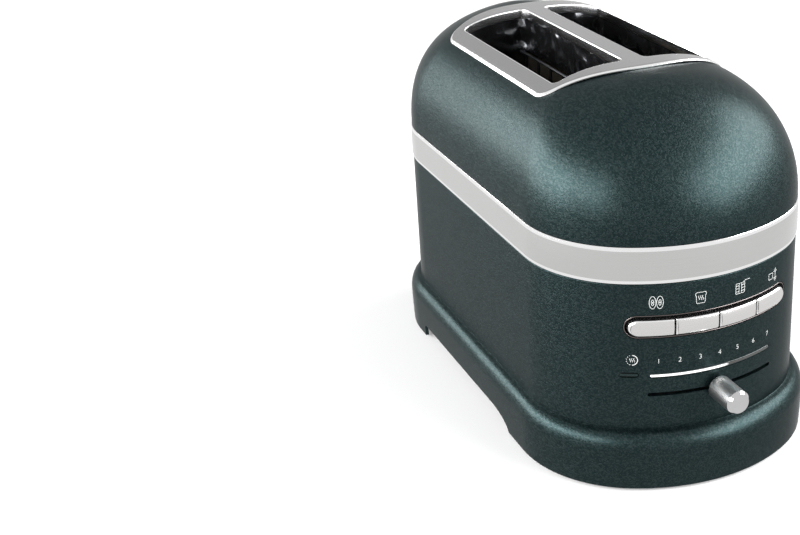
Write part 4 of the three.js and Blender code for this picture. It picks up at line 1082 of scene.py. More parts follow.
class TOASTER_OT_stage(ToasterOperator):
    """Sets the camera, the floor, the lamps and the even light"""

    bl_idname = "toaster.stage"
    bl_label = "Studio"

    def execute(self, context):
        studio = context.scene.toaster_studio
        self.add_camera(context, studio)
        self.add_floor(studio)
        self.add_world(context, studio)
        for name, turns, sides, power in (
                ("left_softbox", studio.left_turn, studio.left_sides, studio.left_power),
                ("front_softbox", studio.front_turn, studio.front_sides, studio.front_power),
                ("right_softbox", studio.right_turn, studio.right_sides, studio.right_power)):
            self.add_softbox(name, studio.lamp_distance, turns, sides, power)
        return {"FINISHED"}

    def add_camera(self, context, studio):
        camera = bpy.data.objects.new("photo_camera", bpy.data.cameras.new("photo_camera"))
        context.scene.collection.objects.link(camera)
        camera.data.lens = studio.lens
        camera.data.shift_x = studio.shift_x
        camera.data.shift_y = studio.shift_y
        level = math.cos(studio.elevation)
        back = Vector((math.sin(studio.azimuth) * level, -math.cos(studio.azimuth) * level,
                       math.sin(studio.elevation)))
        right = Vector((0, 0, 1)).cross(back).normalized()
        facing = Matrix((right, back.cross(right), back)).transposed()
        turned = facing @ Matrix.Rotation(studio.roll, 3, "Z")
        camera.matrix_world = Matrix.Translation(studio.eye) @ turned.to_4x4()
        context.scene.camera = camera
        context.scene.view_settings.view_transform = "Standard"

    def add_floor(self, studio):
        half = studio.floor_span / 2
        mesh = bpy.data.meshes.new("studio_floor")
        corners = [(-half, -half, 0), (half, -half, 0), (half, half, 0), (-half, half, 0)]
        mesh.from_pydata(corners, [], [(0, 1, 2, 3)])
        mesh.materials.append(floor_finish(studio))
        new_piece("studio_floor", mesh)

    def add_world(self, context, studio):
        """White to the camera and in reflections, and dimmer as light."""
        world = bpy.data.worlds.new("studio")
        context.scene.world = world
        world.use_nodes = True
        recipe = Recipe(world.node_tree)
        world.node_tree.nodes.clear()
        rays = recipe.add("ShaderNodeLightPath")
        seen = rays.output("Is Camera Ray").math("MAXIMUM", mirrored_ray(rays))
        strength = seen + (1 - seen) * studio.world_strength
        sky = recipe.add("ShaderNodeBackground", inputs={"Color": (1, 1, 1, 1), "Strength": strength})
        recipe.add("ShaderNodeOutputWorld", inputs={"Surface": sky})

    def add_softbox(self, name, distance, turns, sides, power):
        """A soft lamp that faces the body from a turn and a rise, tilted about its own middle."""
        turn, rise, tilt = turns
        lamp = bpy.data.lights.new(name, "AREA")
        lamp.shape = "RECTANGLE"
        lamp.size, lamp.size_y = sides
        lamp.energy = power
        box = bpy.data.objects.new(name, lamp)
        bpy.context.scene.collection.objects.link(box)
        way = Vector((math.sin(turn) * math.cos(rise), math.cos(turn) * math.cos(rise), math.sin(rise)))
        place = Vector((0, 0, SHELL_LOW.z)) + distance * way
        aim = (-way).to_track_quat("-Z", "Y").to_matrix().to_4x4()
        box.matrix_world = Matrix.Translation(place) @ aim @ Matrix.Rotation(tilt, 4, "Z")


class TOASTER_OT_upper_shell(ToasterOperator):
    """Grows the dome from the body's plan by its rule and opens it for the slots"""

    bl_idname = "toaster.upper_shell"
    bl_label = "Upper shell"

    def execute(self, context):
        body = context.scene.toaster_body
        trim = context.scene.toaster_trim
        plan = body_plan(0, 0)
        wire = bpy.data.meshes.new("upper_shell")
        wire.from_pydata(at_height(plan, 0), [(i, (i + 1) % len(plan)) for i in range(len(plan))], [])
        piece = new_piece("upper_shell_fine", wire)
        self.dome_tree().grow(piece, {
            "Bottom": SHELL_LOW.z, "Rise": SHELL_HIGH.z - SHELL_LOW.z, "Front": front_reach(),
            "Back": body.back_reach, "Ridge front": body.ridge_front, "Ridge back": body.ridge_back,
            "Side power": body.side_power, "Rise power": body.rise_power, "End power": body.end_power,
            "Front rise power": body.front_rise_power, "Back rise power": body.back_rise_power,
            "Levels": body.dome_steps, "Around": body.around_steps, "Middle": body_middle(),
            "Material": paint_finish()})
        weld(piece.data)
        if sum(face.normal.z * face.area for face in piece.data.polygons) < 0:
            piece.data.flip_normals()
        thicken = piece.modifiers.new("wall", "SOLIDIFY")
        thicken.thickness = body.wall
        thicken.offset = -1
        thicken.use_even_offset = True
        settle(piece)
        opening = Shape()
        room = 2 * trim.lip_thickness
        side = trim.slot_outer + room
        opening.prism(
            rounded_rectangle(-side, side, -trim.slot_front - room, trim.slot_back + room,
                              trim.slot_corner, steps=8),
            SHELL_LOW.z, TRIM_TOP + OVERRUN, lambda x, y, z: (x, y, z))
        carve(piece, opening)
        dress(piece, "housing", paint_finish(), ["upper_shell"])
        return {"FINISHED"}

    def dome_tree(self):
        """Levels whose width and height follow a superellipse, and whose ends draw in to a ridge."""
        numbers = ["Bottom", "Rise", "Front", "Back", "Ridge front", "Ridge back", "Side power",
                   "Rise power", "End power", "Front rise power", "Back rise power", "Middle"]
        recipe = GeometryRecipe("domed_shell", numbers, Levels="Int", Around="Int")
        plan = recipe.add("GeometryNodeMeshToCurve", inputs={"Mesh": recipe.given("Geometry")})
        grid = recipe.add("GeometryNodeMeshGrid", inputs={
            "Size X": 1.0, "Size Y": 1.0, "Vertices X": recipe.given("Around") + 1,
            "Vertices Y": recipe.given("Levels") + 1})
        spot = recipe.add("ShaderNodeSeparateXYZ", inputs={
            "Vector": recipe.add("GeometryNodeInputPosition")})
        around = spot.output("X") + 0.5
        climb = (spot.output("Y") + 0.5) * (math.pi / 2)
        on_plan = recipe.add("GeometryNodeSampleCurve", {"mode": "FACTOR"}, {
            "Curves": plan, "Factor": around}).output("Position")
        flat = recipe.add("ShaderNodeSeparateXYZ", inputs={"Vector": on_plan})
        width = climb.math("COSINE").math("MAXIMUM", 0.0) ** (2 / recipe.given("Side power"))
        height = climb.math("SINE") ** (2 / recipe.given("Rise power"))
        front = self.end_reach(recipe, "Front", height)
        back = self.end_reach(recipe, "Back", height)
        reach = back + (front - back) * (flat.output("Y") < 0.0)
        spread = recipe.vector(
            flat.output("X") * width, flat.output("Y") * reach + recipe.given("Middle"),
            recipe.given("Bottom") + recipe.given("Rise") * height)
        moved = recipe.add("GeometryNodeSetPosition", inputs={"Geometry": grid, "Position": spread})
        merged = recipe.add("GeometryNodeMergeByDistance", inputs={
            "Geometry": moved, "Distance": 10 * WELD})
        return recipe.deliver(recipe.painted(merged))

    def end_reach(self, recipe, end, height):
        """The share of its reach that an end keeps at a height."""
        reach = recipe.given(end)
        ridge = recipe.given(f"Ridge {end.lower()}")
        fall = (1 - height ** recipe.given(f"{end} rise power")) ** (1 / recipe.given("End power"))
        return (ridge + (reach - ridge) * fall) / reach


class TOASTER_OT_lower_housing(ToasterOperator):
    """Lofts the flared lower housing and cuts its arches, panel openings and the tray's way out"""

    bl_idname = "toaster.lower_housing"
    bl_label = "Lower housing"

    def execute(self, context):
        body = context.scene.toaster_body
        shell = self.shell(body)
        piece = new_piece("lower_housing_fine", shell.mesh("lower_housing_fine"))
        carve(piece, self.openings(context, body))
        dress(piece, "housing", paint_finish(), ["lower_housing"])
        self.add_handle(body)
        return {"FINISHED"}

    def shell(self, body):
        low, high, edge = HOUSING_LOW.z, HOUSING_HIGH.z, body.edge_round
        shoulder, tuck_steps, flare_steps = body.flare_shoulder, 16, 40
        heights = [low + edge + (shoulder - low - edge) * i / tuck_steps for i in range(tuck_steps)]
        heights += [shoulder + (body.flare_top - shoulder) * i / flare_steps
                    for i in range(flare_steps + 1)]
        heights += [high - edge]
        rounded = rounding(edge, edge, EDGE_STEPS)
        rings = [housing_ring(inset, low + fall) for inset, fall in reversed(rounded)]
        rings += [housing_ring(0, z) for z in heights[1:]]
        rings += [housing_ring(inset, high - fall) for inset, fall in rounded[1:]]
        rings += [housing_ring(body.wall, z) for z in (high, *reversed(heights[:-1:2]), low)]
        shape = Shape()
        shape.loft(rings, closed=True)
        return shape

    def openings(self, context, body):
        """The side arches, the panel's four openings and the tray's passage, as one cutter."""
        panel = context.scene.toaster_panel
        shape = Shape()
        reach = HOUSING_HIGH.x + OVERRUN
        shape.prism(self.arch(body), -reach, reach, lambda y, z, x: (x, y, z))
        depth = (-front_reach() - OVERRUN, -front_reach() + body.bow_radius / 3)
        for x, z, half_length, height, gap in (
                (0, panel.recess_height_z, panel.recess_half_length, panel.recess_height, 0),
                (0, panel.light_z, panel.light_half_length, panel.light_height, panel.rim_gap),
                (-panel.indicator_x, panel.indicator_z, panel.indicator_half_length,
                 panel.indicator_height, panel.rim_gap),
                (0, panel.slit_z, panel.slit_half_length, panel.slit_height, 0)):
            outline = stadium(x, z, half_length + gap, height + 2 * gap, panel.round_steps)
            shape.prism(outline, *depth, lambda x, z, y: (x, y, z))
        half = HANDLE_HIGH.x + body.gap
        back, reach = body.back_reach, body.handle_reach
        shape.prism(
            rounded_rectangle(-half, half, HANDLE_LOW.z - body.gap, HANDLE_HIGH.z + body.gap,
                              body.handle_corner, EDGE_STEPS),
            back - reach, back + reach, lambda x, z, y: (x, y, z))
        return shape

    def arch(self, body):
        """The low arch: a long curved end towards the panel and a square one behind."""
        below = HOUSING_LOW.z - OVERRUN
        front = [(-body.arch_front + body.arch_front_run * (1 - x), body.arch_height * y)
                 for x, y in arc((0, 0), 1, 0, math.pi / 2, steps=12)]
        corner = arc((body.arch_back - body.arch_back_run, body.arch_height - body.arch_back_run),
                     body.arch_back_run, math.pi / 2, 0, steps=6)
        return [(-body.arch_front, below), *front, *corner, (body.arch_back, below)][::-1]

    def add_handle(self, body):
        """The part of the housing's back that slides out with the tray, with a finger lip under it."""
        low, high, half = HANDLE_LOW.z, HANDLE_HIGH.z, HANDLE_HIGH.x
        levels = 10
        heights = [low + (high - low) * i / levels for i in range(levels + 1)]
        shape = Shape()
        rings = [housing_ring(0, z) for z in heights]
        rings += [housing_ring(body.wall, z) for z in reversed(heights)]
        shape.loft(rings, closed=True)
        piece = new_piece("crumb_tray_handle_fine", shape.mesh("crumb_tray_handle_fine"))
        keep = Shape()
        keep.prism(
            rounded_rectangle(-half, half, low - OVERRUN, high + OVERRUN, body.handle_corner, EDGE_STEPS),
            body.back_reach - 1.5 * body.handle_reach, body.back_reach + body.handle_reach,
            lambda x, z, y: (x, y, z))
        carve(piece, keep, "INTERSECT")
        bevel = piece.modifiers.new("edges", "BEVEL")
        bevel.width = body.edge_round
        bevel.segments = 3
        bevel.limit_method = "ANGLE"
        bevel.angle_limit = math.radians(50)
        settle(piece)
        middle = body_middle()
        tongue = Shape()
        reach = half - body.handle_margin
        tongue.prism(
            rounded_rectangle(-reach, reach, low, low + body.handle_tongue, body.edge_round, steps=3),
            HANDLE_LOW.y - middle, HANDLE_HIGH.y - middle - 2 * body.wall, lambda x, z, y: (x, y, z))
        piece.data = joined_meshes("crumb_tray_handle_fine", [piece.data, tongue.mesh("tongue")])
        dress(piece, "tray", paint_finish(), ["crumb_tray_handle"])


class TOASTER_OT_trim_band(ToasterOperator):
    """Sweeps the band's bevelled section round the body"""

    bl_idname = "toaster.trim_band"
    bl_label = "Trim band"

    def execute(self, context):
        band = context.scene.toaster_band
        low = HOUSING_HIGH.z + band.seam
        high = SHELL_LOW.z - band.seam
        bevel = [(band.proud * out, band.bevel * up) for out, up in BAND_BEVEL]
        section = [(-band.depth, low)]
        section += [(growth, low + rise) for growth, rise in bevel]
        section += [(growth, high - rise) for growth, rise in reversed(bevel)]
        section += [(-band.depth, high)]
        shape = Shape()
        shape.loft([at_height(body_plan(growth, growth), z) for growth, z in section], closed=True)
        piece = fine_piece("trim_band", shape, "housing", band_finish(),
                           crease=math.radians(25))
        polish(piece, lambda face: not low + band.bevel < face.center.z < high - band.bevel)
        return {"FINISHED"}


def ridge_height(x):
    """Height of the dome over the middle of the body, at x."""
    body = bpy.context.scene.toaster_body
    share = (1 - (abs(x) / SHELL_HIGH.x) ** body.side_power) ** (1 / body.rise_power)
    return SHELL_LOW.z + (SHELL_HIGH.z - SHELL_LOW.z) * share


class TOASTER_OT_slot_trim(ToasterOperator):
    """Forms the bowed plate round the slots with its lips, and the liners below it"""

    bl_idname = "toaster.slot_trim"
    bl_label = "Slot trim"

    def execute(self, context):
        trim = context.scene.toaster_trim
        self.add_plate(trim)
        for name, side in SIDES:
            self.add_liner(trim, name, side)
        return {"FINISHED"}

    def plan(self, trim, growth):
        ends = []
        for reach, bow in ((trim.front, trim.front_bow), (trim.back, trim.back_bow)):
            radius = (trim.half_width ** 2 + bow ** 2) / (2 * bow)
            ends.append((reach + growth, radius + growth, trim.corner + growth))
        return bowed_plan(trim.half_width + growth, ends, bow_steps=24, corner_steps=12, side_steps=60)

    def slot(self, trim, side, growth):
        ends = sorted((side * (trim.slot_inner - growth), side * (trim.slot_outer + growth)))
        return rounded_rectangle(*ends, -trim.slot_front - growth, trim.slot_back + growth,
                                 trim.slot_corner + growth, steps=10)

    def add_plate(self, trim):
        shape = Shape()

        def lifted(outline, lift):
            return [(x, y, ridge_height(x) + lift) for x, y in outline]

        top = trim.lift + trim.thickness
        edge = [(inset * trim.bevel, fall * trim.bevel_drop) for inset, fall in PLATE_EDGE]
        shape.loft([lifted(self.plan(trim, 0), trim.lift)]
                   + [lifted(self.plan(trim, -inset), top - fall) for inset, fall in edge])
        for _, side in SIDES:
            lip = rounding(trim.slot_bevel, trim.slot_bevel, steps=5)
            rings = [lifted(self.slot(trim, side, trim.lip_thickness), trim.lift)]
            rings.append(lifted(self.slot(trim, side, trim.lip_thickness), -trim.lip_depth))
            rings.append(lifted(self.slot(trim, side, 0), -trim.lip_depth))
            rings += [lifted(self.slot(trim, side, inset), top - fall) for inset, fall in lip]
            shape.loft(rings)
        for plan_growth, slot_growth, lift in (
                (0, trim.lip_thickness, trim.lift), (-trim.bevel, trim.slot_bevel, top)):
            shape.skin(self.plan(trim, plan_growth),
                       [self.slot(trim, side, slot_growth) for _, side in SIDES], trim.mesh_pitch,
                       lambda x, y, lift=lift: (x, y, ridge_height(x) + lift))
        piece = fine_piece("slot_trim", shape, "housing", trim_finish(),
                           crease=math.radians(25))
        bright_share = 0.95  # of each bevel's width
        inner = self.plan(trim, -bright_share * trim.bevel)
        holes = [self.slot(trim, side, bright_share * trim.slot_bevel) for _, side in SIDES]

        def bright(face):
            spot = (face.center.x, face.center.y - body_middle())
            return not within(spot, inner) or any(within(spot, hole) for hole in holes)

        polish(piece, bright)

    def add_liner(self, trim, name, side):
        rings = []
        for growth in (trim.liner_thickness, 0):
            outline = self.slot(trim, side, growth)
            low = at_height(outline, LINER_BOTTOM)
            high = [(x, y, ridge_height(x) - trim.lip_depth - trim.lift) for x, y in outline]
            rings += [low, high] if growth else [high, low]
        shape = Shape()
        shape.loft(rings, closed=True)
        fine_piece(f"slot_liner_{name}", shape, "housing", enamel_finish())


def panel_pad(outline, levels, pitch, crown=0.0, centre=0.0, half_height=1.0):
    """A pad on the bowed front: rings of (inset, growth) up to its face, which may be crowned."""
    shape = Shape()
    rings = [(inset_outline(outline, inset), growth) for inset, growth in levels]
    shape.loft([[front_place(x, z, growth) for x, z in ring] for ring, growth in rings])
    for ring, growth in (rings[0], rings[-1]):
        rise = crown if ring is rings[-1][0] else 0.0

        def place(x, z, growth=growth, rise=rise):
            share = min(1.0, abs(z - centre) / half_height)
            return front_place(x, z, growth + rise * (1 - share ** 2))

        shape.skin(ring, [], pitch, place)
    return shape


class TOASTER_OT_buttons(ToasterOperator):
    """Forms the dark recess with its bright rim, and the four push buttons"""

    bl_idname = "toaster.buttons"
    bl_label = "Buttons"

    def execute(self, context):
        panel = context.scene.toaster_panel
        self.add_bezel(context, panel)
        for index, name in enumerate(BUTTONS):
            self.add_button(panel, name, index)
        return {"FINISHED"}

    def add_bezel(self, context, panel):
        wall = context.scene.toaster_body.wall
        outer = stadium(0, panel.recess_height_z, panel.recess_half_length - panel.rim_gap,
                        panel.recess_height - 2 * panel.rim_gap, panel.round_steps)
        edge = rounding(panel.rim_round, panel.rim_round, EDGE_STEPS)
        levels = [(0, -wall - panel.recess_depth), (0, -panel.rim_round)]
        levels += [(inset, -fall) for inset, fall in edge[:-1]]
        levels += [(panel.rim - inset, -fall) for inset, fall in reversed(edge)]
        levels += [(panel.rim, -panel.recess_depth)]
        shape = Shape()
        shape.loft([[front_place(x, z, growth) for x, z in inset_outline(outer, inset)]
                    for inset, growth in levels])
        for inset, growth in (levels[0], levels[-1]):
            shape.skin(inset_outline(outer, inset), [], panel.mesh_pitch,
                       lambda x, z, growth=growth: front_place(x, z, growth))
        # Black moulding inside the recess, whose darkness is also painted shade of the recess.
        black = moulded_finish("recess_black", colours().plastic, roughness=0.4)
        piece = fine_piece("button_bezel", shape, "housing", black)
        # The rim's chrome is darkened as painted shade of the recess.
        polish(piece, lambda face: -2 * panel.rim_round < front_growth(face.center),
               chrome_finish("rim_chrome", colours().rim, roughness=0.12))

    def outline(self, panel, index):
        """A button's outline: square corners inside the row and a round end at its ends."""
        half = panel.button_height / 2
        z = panel.recess_height_z - panel.button_drop
        start = (index - len(BUTTONS) / 2) * panel.button_pitch + panel.button_gap / 2
        right = min(start + panel.button_pitch - panel.button_gap, panel.row_half_length)
        left = max(start, -panel.row_half_length)
        right_radius = half if index == len(BUTTONS) - 1 else panel.button_corner
        left_radius = half if index == 0 else panel.button_corner
        points = []
        for x, side, rise, radius, turn in (
                (right, -1, -1, right_radius, -math.pi / 2), (right, -1, 1, right_radius, 0),
                (left, 1, 1, left_radius, math.pi / 2), (left, 1, -1, left_radius, math.pi)):
            steps = 4 * EDGE_STEPS if radius == half else EDGE_STEPS
            centre = (x + side * radius, z + rise * (half - radius))
            points += arc(centre, radius, turn, turn + math.pi / 2, steps)
        return self.filled(points)

    def filled(self, points, pitch=0.001):
        """The same outline with points along its long sides, and none twice."""
        dense = []
        for point, after in zip(points, points[1:] + points[:1]):
            start, end = Vector(point), Vector(after)
            if (end - start).length < WELD:
                continue
            stops = max(1, round((end - start).length / pitch))
            dense += [tuple(start.lerp(end, i / stops)) for i in range(stops)]
        return dense

    def add_button(self, panel, name, index):
        outline = self.outline(panel, index)
        bevel, proud = panel.button_bevel, panel.button_proud
        soft = bevel / 4
        levels = [(0, -panel.button_depth), (0, proud - bevel - soft), (soft / 3, proud - bevel)]
        levels += [(bevel - soft, proud - soft / 2), (bevel, proud)]
        shape = panel_pad(outline, levels, panel.mesh_pitch, panel.button_crown,
                          panel.recess_height_z - panel.button_drop, panel.button_height / 2 - bevel)
        piece = fine_piece(f"{name}_button", shape, f"{name}_key", satin_finish(),
                           crease=math.radians(28))
        polish(piece, lambda face: -bevel < front_growth(face.center) < proud - soft / 2)


class TOASTER_OT_lights(ToasterOperator):
    """Sets the light strip and the dark window flush in the front"""

    bl_idname = "toaster.lights"
    bl_label = "Light strip"

    def execute(self, context):
        panel = context.scene.toaster_panel
        wall = context.scene.toaster_body.wall
        steps = panel.round_steps
        strip = stadium(0, panel.light_z, panel.light_half_length, panel.light_height, steps)
        edge = panel.rim_round / 2
        shape = panel_pad(strip, [(0, -wall), (0, -edge), (edge, 0)], panel.mesh_pitch / 2)
        fine_piece("light_bar", shape, "housing", light_finish(panel))
        pane = stadium(-panel.indicator_x, panel.indicator_z, panel.indicator_half_length,
                       panel.indicator_height, steps)
        shape = panel_pad(pane, [(0, -wall), (0, -2 * edge), (edge, -edge)], panel.mesh_pitch)
        fine_piece("indicator_window", shape, "housing", window_finish(panel))
        return {"FINISHED"}


class Pen:
    """Draws lines of even width. Places and sizes are shares of a mark's height, from its middle."""

    def __init__(self, width, unit):
        self.curve = bpy.data.curves.new("pen", "CURVE")
        self.curve.dimensions = "3D"
        self.curve.bevel_depth = width / 2
        self.curve.bevel_resolution = 1
        self.curve.use_fill_caps = True
        self.unit = unit
        self.middle = (0, 0)

    def move(self, x, z):
        """Goes to the middle of the next mark, seen at x."""
        radius = bpy.context.scene.toaster_body.bow_radius
        self.middle = (radius * math.asin(x / radius), z)

    def line(self, points, closed=False):
        spline = self.curve.splines.new("POLY")
        spline.points.add(len(points) - 1)
        for spot, (x, y) in zip(spline.points, points):
            spot.co = (self.middle[0] + x * self.unit, self.middle[1] + y * self.unit, 0, 1)
        spline.use_cyclic_u = closed

    def oval(self, centre, half_width, half_height, steps):
        self.line([(centre[0] + half_width * x, centre[1] + half_height * y)
                   for x, y in circle(1, steps)], closed=True)

    def box(self, x, half, corner):
        self.line(rounded_rectangle(x - half, x + half, -half, half, corner, steps=3, pitch=1), closed=True)

    def waves(self, spacing, height, swing, steps=16):
        """Three heat waves in a row, each an upright S."""
        for x in (-spacing, 0, spacing):
            self.line([(x + swing * math.sin(2 * math.pi * i / steps), height * (i / steps - 0.5))
                       for i in range(steps + 1)])


class TOASTER_OT_marks(ToasterOperator):
    """Prints the shade numbers and the plain pictograms on the front"""

    bl_idname = "toaster.marks"
    bl_label = "Printed marks"

    def execute(self, context):
        marks = context.scene.toaster_marks
        meshes = [self.numeral(marks, index) for index in range(marks.numeral_count)]
        piece = new_piece("panel_marks", joined_meshes("panel_marks", [*meshes, self.pictograms(marks)]))
        dress(piece, "housing", print_finish())
        return {"FINISHED"}

    def laid(self, data, distance, z, flatten):
        """A flat curve or text as a mesh on the front, at a distance along the bow."""
        holder = new_piece("mark", data)
        graph = bpy.context.evaluated_depsgraph_get()
        mesh = bpy.data.meshes.new_from_object(holder.evaluated_get(graph), depsgraph=graph)
        bpy.data.objects.remove(holder)
        for vertex in mesh.vertices:
            x, y, lift = vertex.co
            spot = Vector(along_front(distance + x, z + y, lift * flatten))
            vertex.co = spot + Vector((0, body_middle(), 0))
        return mesh

    def numeral(self, marks, index):
        text = bpy.data.curves.new("numeral", "FONT")
        text.body = str(index + 1)
        text.size = marks.numeral_height / CAP_HEIGHT
        text.align_x = "CENTER"
        text.align_y = "CENTER"
        text.extrude = marks.raised
        text.offset = -marks.stroke / 8
        middle = (marks.numeral_count - 1) / 2
        along = marks.numeral_x + (index - middle) * marks.numeral_step
        return self.laid(text, along, marks.numeral_z, 1.0)

    def pictograms(self, marks):
        pen = Pen(marks.stroke, marks.icon_size)
        for draw, x, z in (
                (self.draw_bagels, marks.bagel_x, marks.icon_z),
                (self.draw_slice, marks.slice_x, marks.icon_z),
                (self.draw_cage, marks.rack_x, marks.icon_z),
                (self.draw_lift, marks.lift_x, marks.icon_z - marks.lift_drop),
                (self.draw_dial, marks.dial_x, marks.dial_z)):
            pen.move(x, z)
            draw(pen)
        return self.laid(pen.curve, 0, 0, marks.raised / (marks.stroke / 2))

    def draw_bagels(self, pen):
        """Two bagels on edge: each a rim, a hole's rim and a hole."""
        for x in (-0.30, 0.30):
            for half_width, half_height, steps in ((0.27, 0.55, 32), (0.10, 0.26, 16), (0.03, 0.05, 8)):
                pen.oval((x, 0), half_width, half_height, steps)

    def draw_slice(self, pen):
        """A slice of bread with two ears and two feet."""
        ear_x, ear_z, ear, foot_x, foot_z, foot = 0.3065, 0.33, 0.17, 0.26, -0.36, 0.12
        pen.line(arc((ear_x, ear_z), ear, -0.3 * math.pi, 0.62 * math.pi, 10)
                 + arc((-ear_x, ear_z), ear, 0.38 * math.pi, 1.3 * math.pi, 10)
                 + arc((-foot_x, foot_z), foot, math.pi, 1.5 * math.pi, 5)
                 + arc((foot_x, foot_z), foot, -0.5 * math.pi, 0, 5), closed=True)
        pen.waves(0.17, 0.40, 0.055)

    def draw_cage(self, pen):
        """A cage with two uprights, three bars to either side and a bent handle."""
        half, upright, top = 0.46, 0.13, 0.62
        pen.box(0, half, 0.08)
        for side in (-1, 1):
            pen.line([(side * upright, -half), (side * upright, half)])
            for level in (-0.26, 0, 0.26):
                pen.line([(side * upright, level), (side * half, level)])
        pen.line([(0.30, half), (half + 0.08, top), (1.02, top)])

    def draw_lift(self, pen):
        """A slice beside a shaft with a head at each end, filled by smaller ones."""
        shaft = 0.30
        pen.box(-0.34, 0.27, 0.09)
        pen.line([(shaft, -0.3), (shaft, 0.3)])
        for way in (-1, 1):
            for width in (0.24, 0.14, 0.06):
                back, tip = way * 0.26, way * (0.34 + width)
                pen.line([(shaft - width, back), (shaft, tip), (shaft + width, back)], closed=True)

    def draw_dial(self, pen):
        """A ring, heavy on its right and dashed on its left, round heat waves."""
        radius, dashes, half_dash = 0.46, 7, 0.09
        heavy = bpy.context.scene.toaster_marks.stroke / (2 * pen.unit)
        for reach in (radius, radius - heavy):
            pen.line(arc((0, 0), reach, -0.5 * math.pi, 0.5 * math.pi, 20))
        for i in range(1, dashes):
            turn = math.pi / 2 + math.pi * i / dashes
            pen.line(arc((0, 0), radius, turn - half_dash, turn + half_dash, 2))
        pen.waves(0.16, 0.34, 0.045)


class TOASTER_OT_knob(ToasterOperator):
    """Turns the polished knob of the shade slider"""

    bl_idname = "toaster.knob"
    bl_label = "Shade knob"

    def execute(self, context):
        panel = context.scene.toaster_panel
        radius = panel.knob_radius
        back, tip = KNOB_HIGH.y - body_middle(), KNOB_LOW.y - body_middle()
        height = middle_of("slider_knob").z
        chamfer = panel.knob_chamfer
        soft = chamfer / 5
        profile = [
            (radius - chamfer, back), (radius, back - chamfer), (radius, tip + chamfer + soft),
            (radius - soft / 2, tip + chamfer), (radius - chamfer + soft, tip + soft / 2),
            (radius - chamfer - soft / 2, tip)]
        shape = Shape()
        shape.loft([[(x, y, height + z) for x, z in circle(reach, steps=96)] for reach, y in profile],
                   capped=True)
        chrome = chrome_finish("knob_chrome", colours().knob)
        piece = fine_piece("slider_knob", shape, "shade_slider", chrome, crease=math.radians(20))
        shaft_tilt = 0.1  # a face of the shaft leans less than this along it
        polish(piece, lambda face: abs(face.normal.y) < shaft_tilt,
               chrome_finish("knob_satin", colours().knob, roughness=0.30))
        return {"FINISHED"}


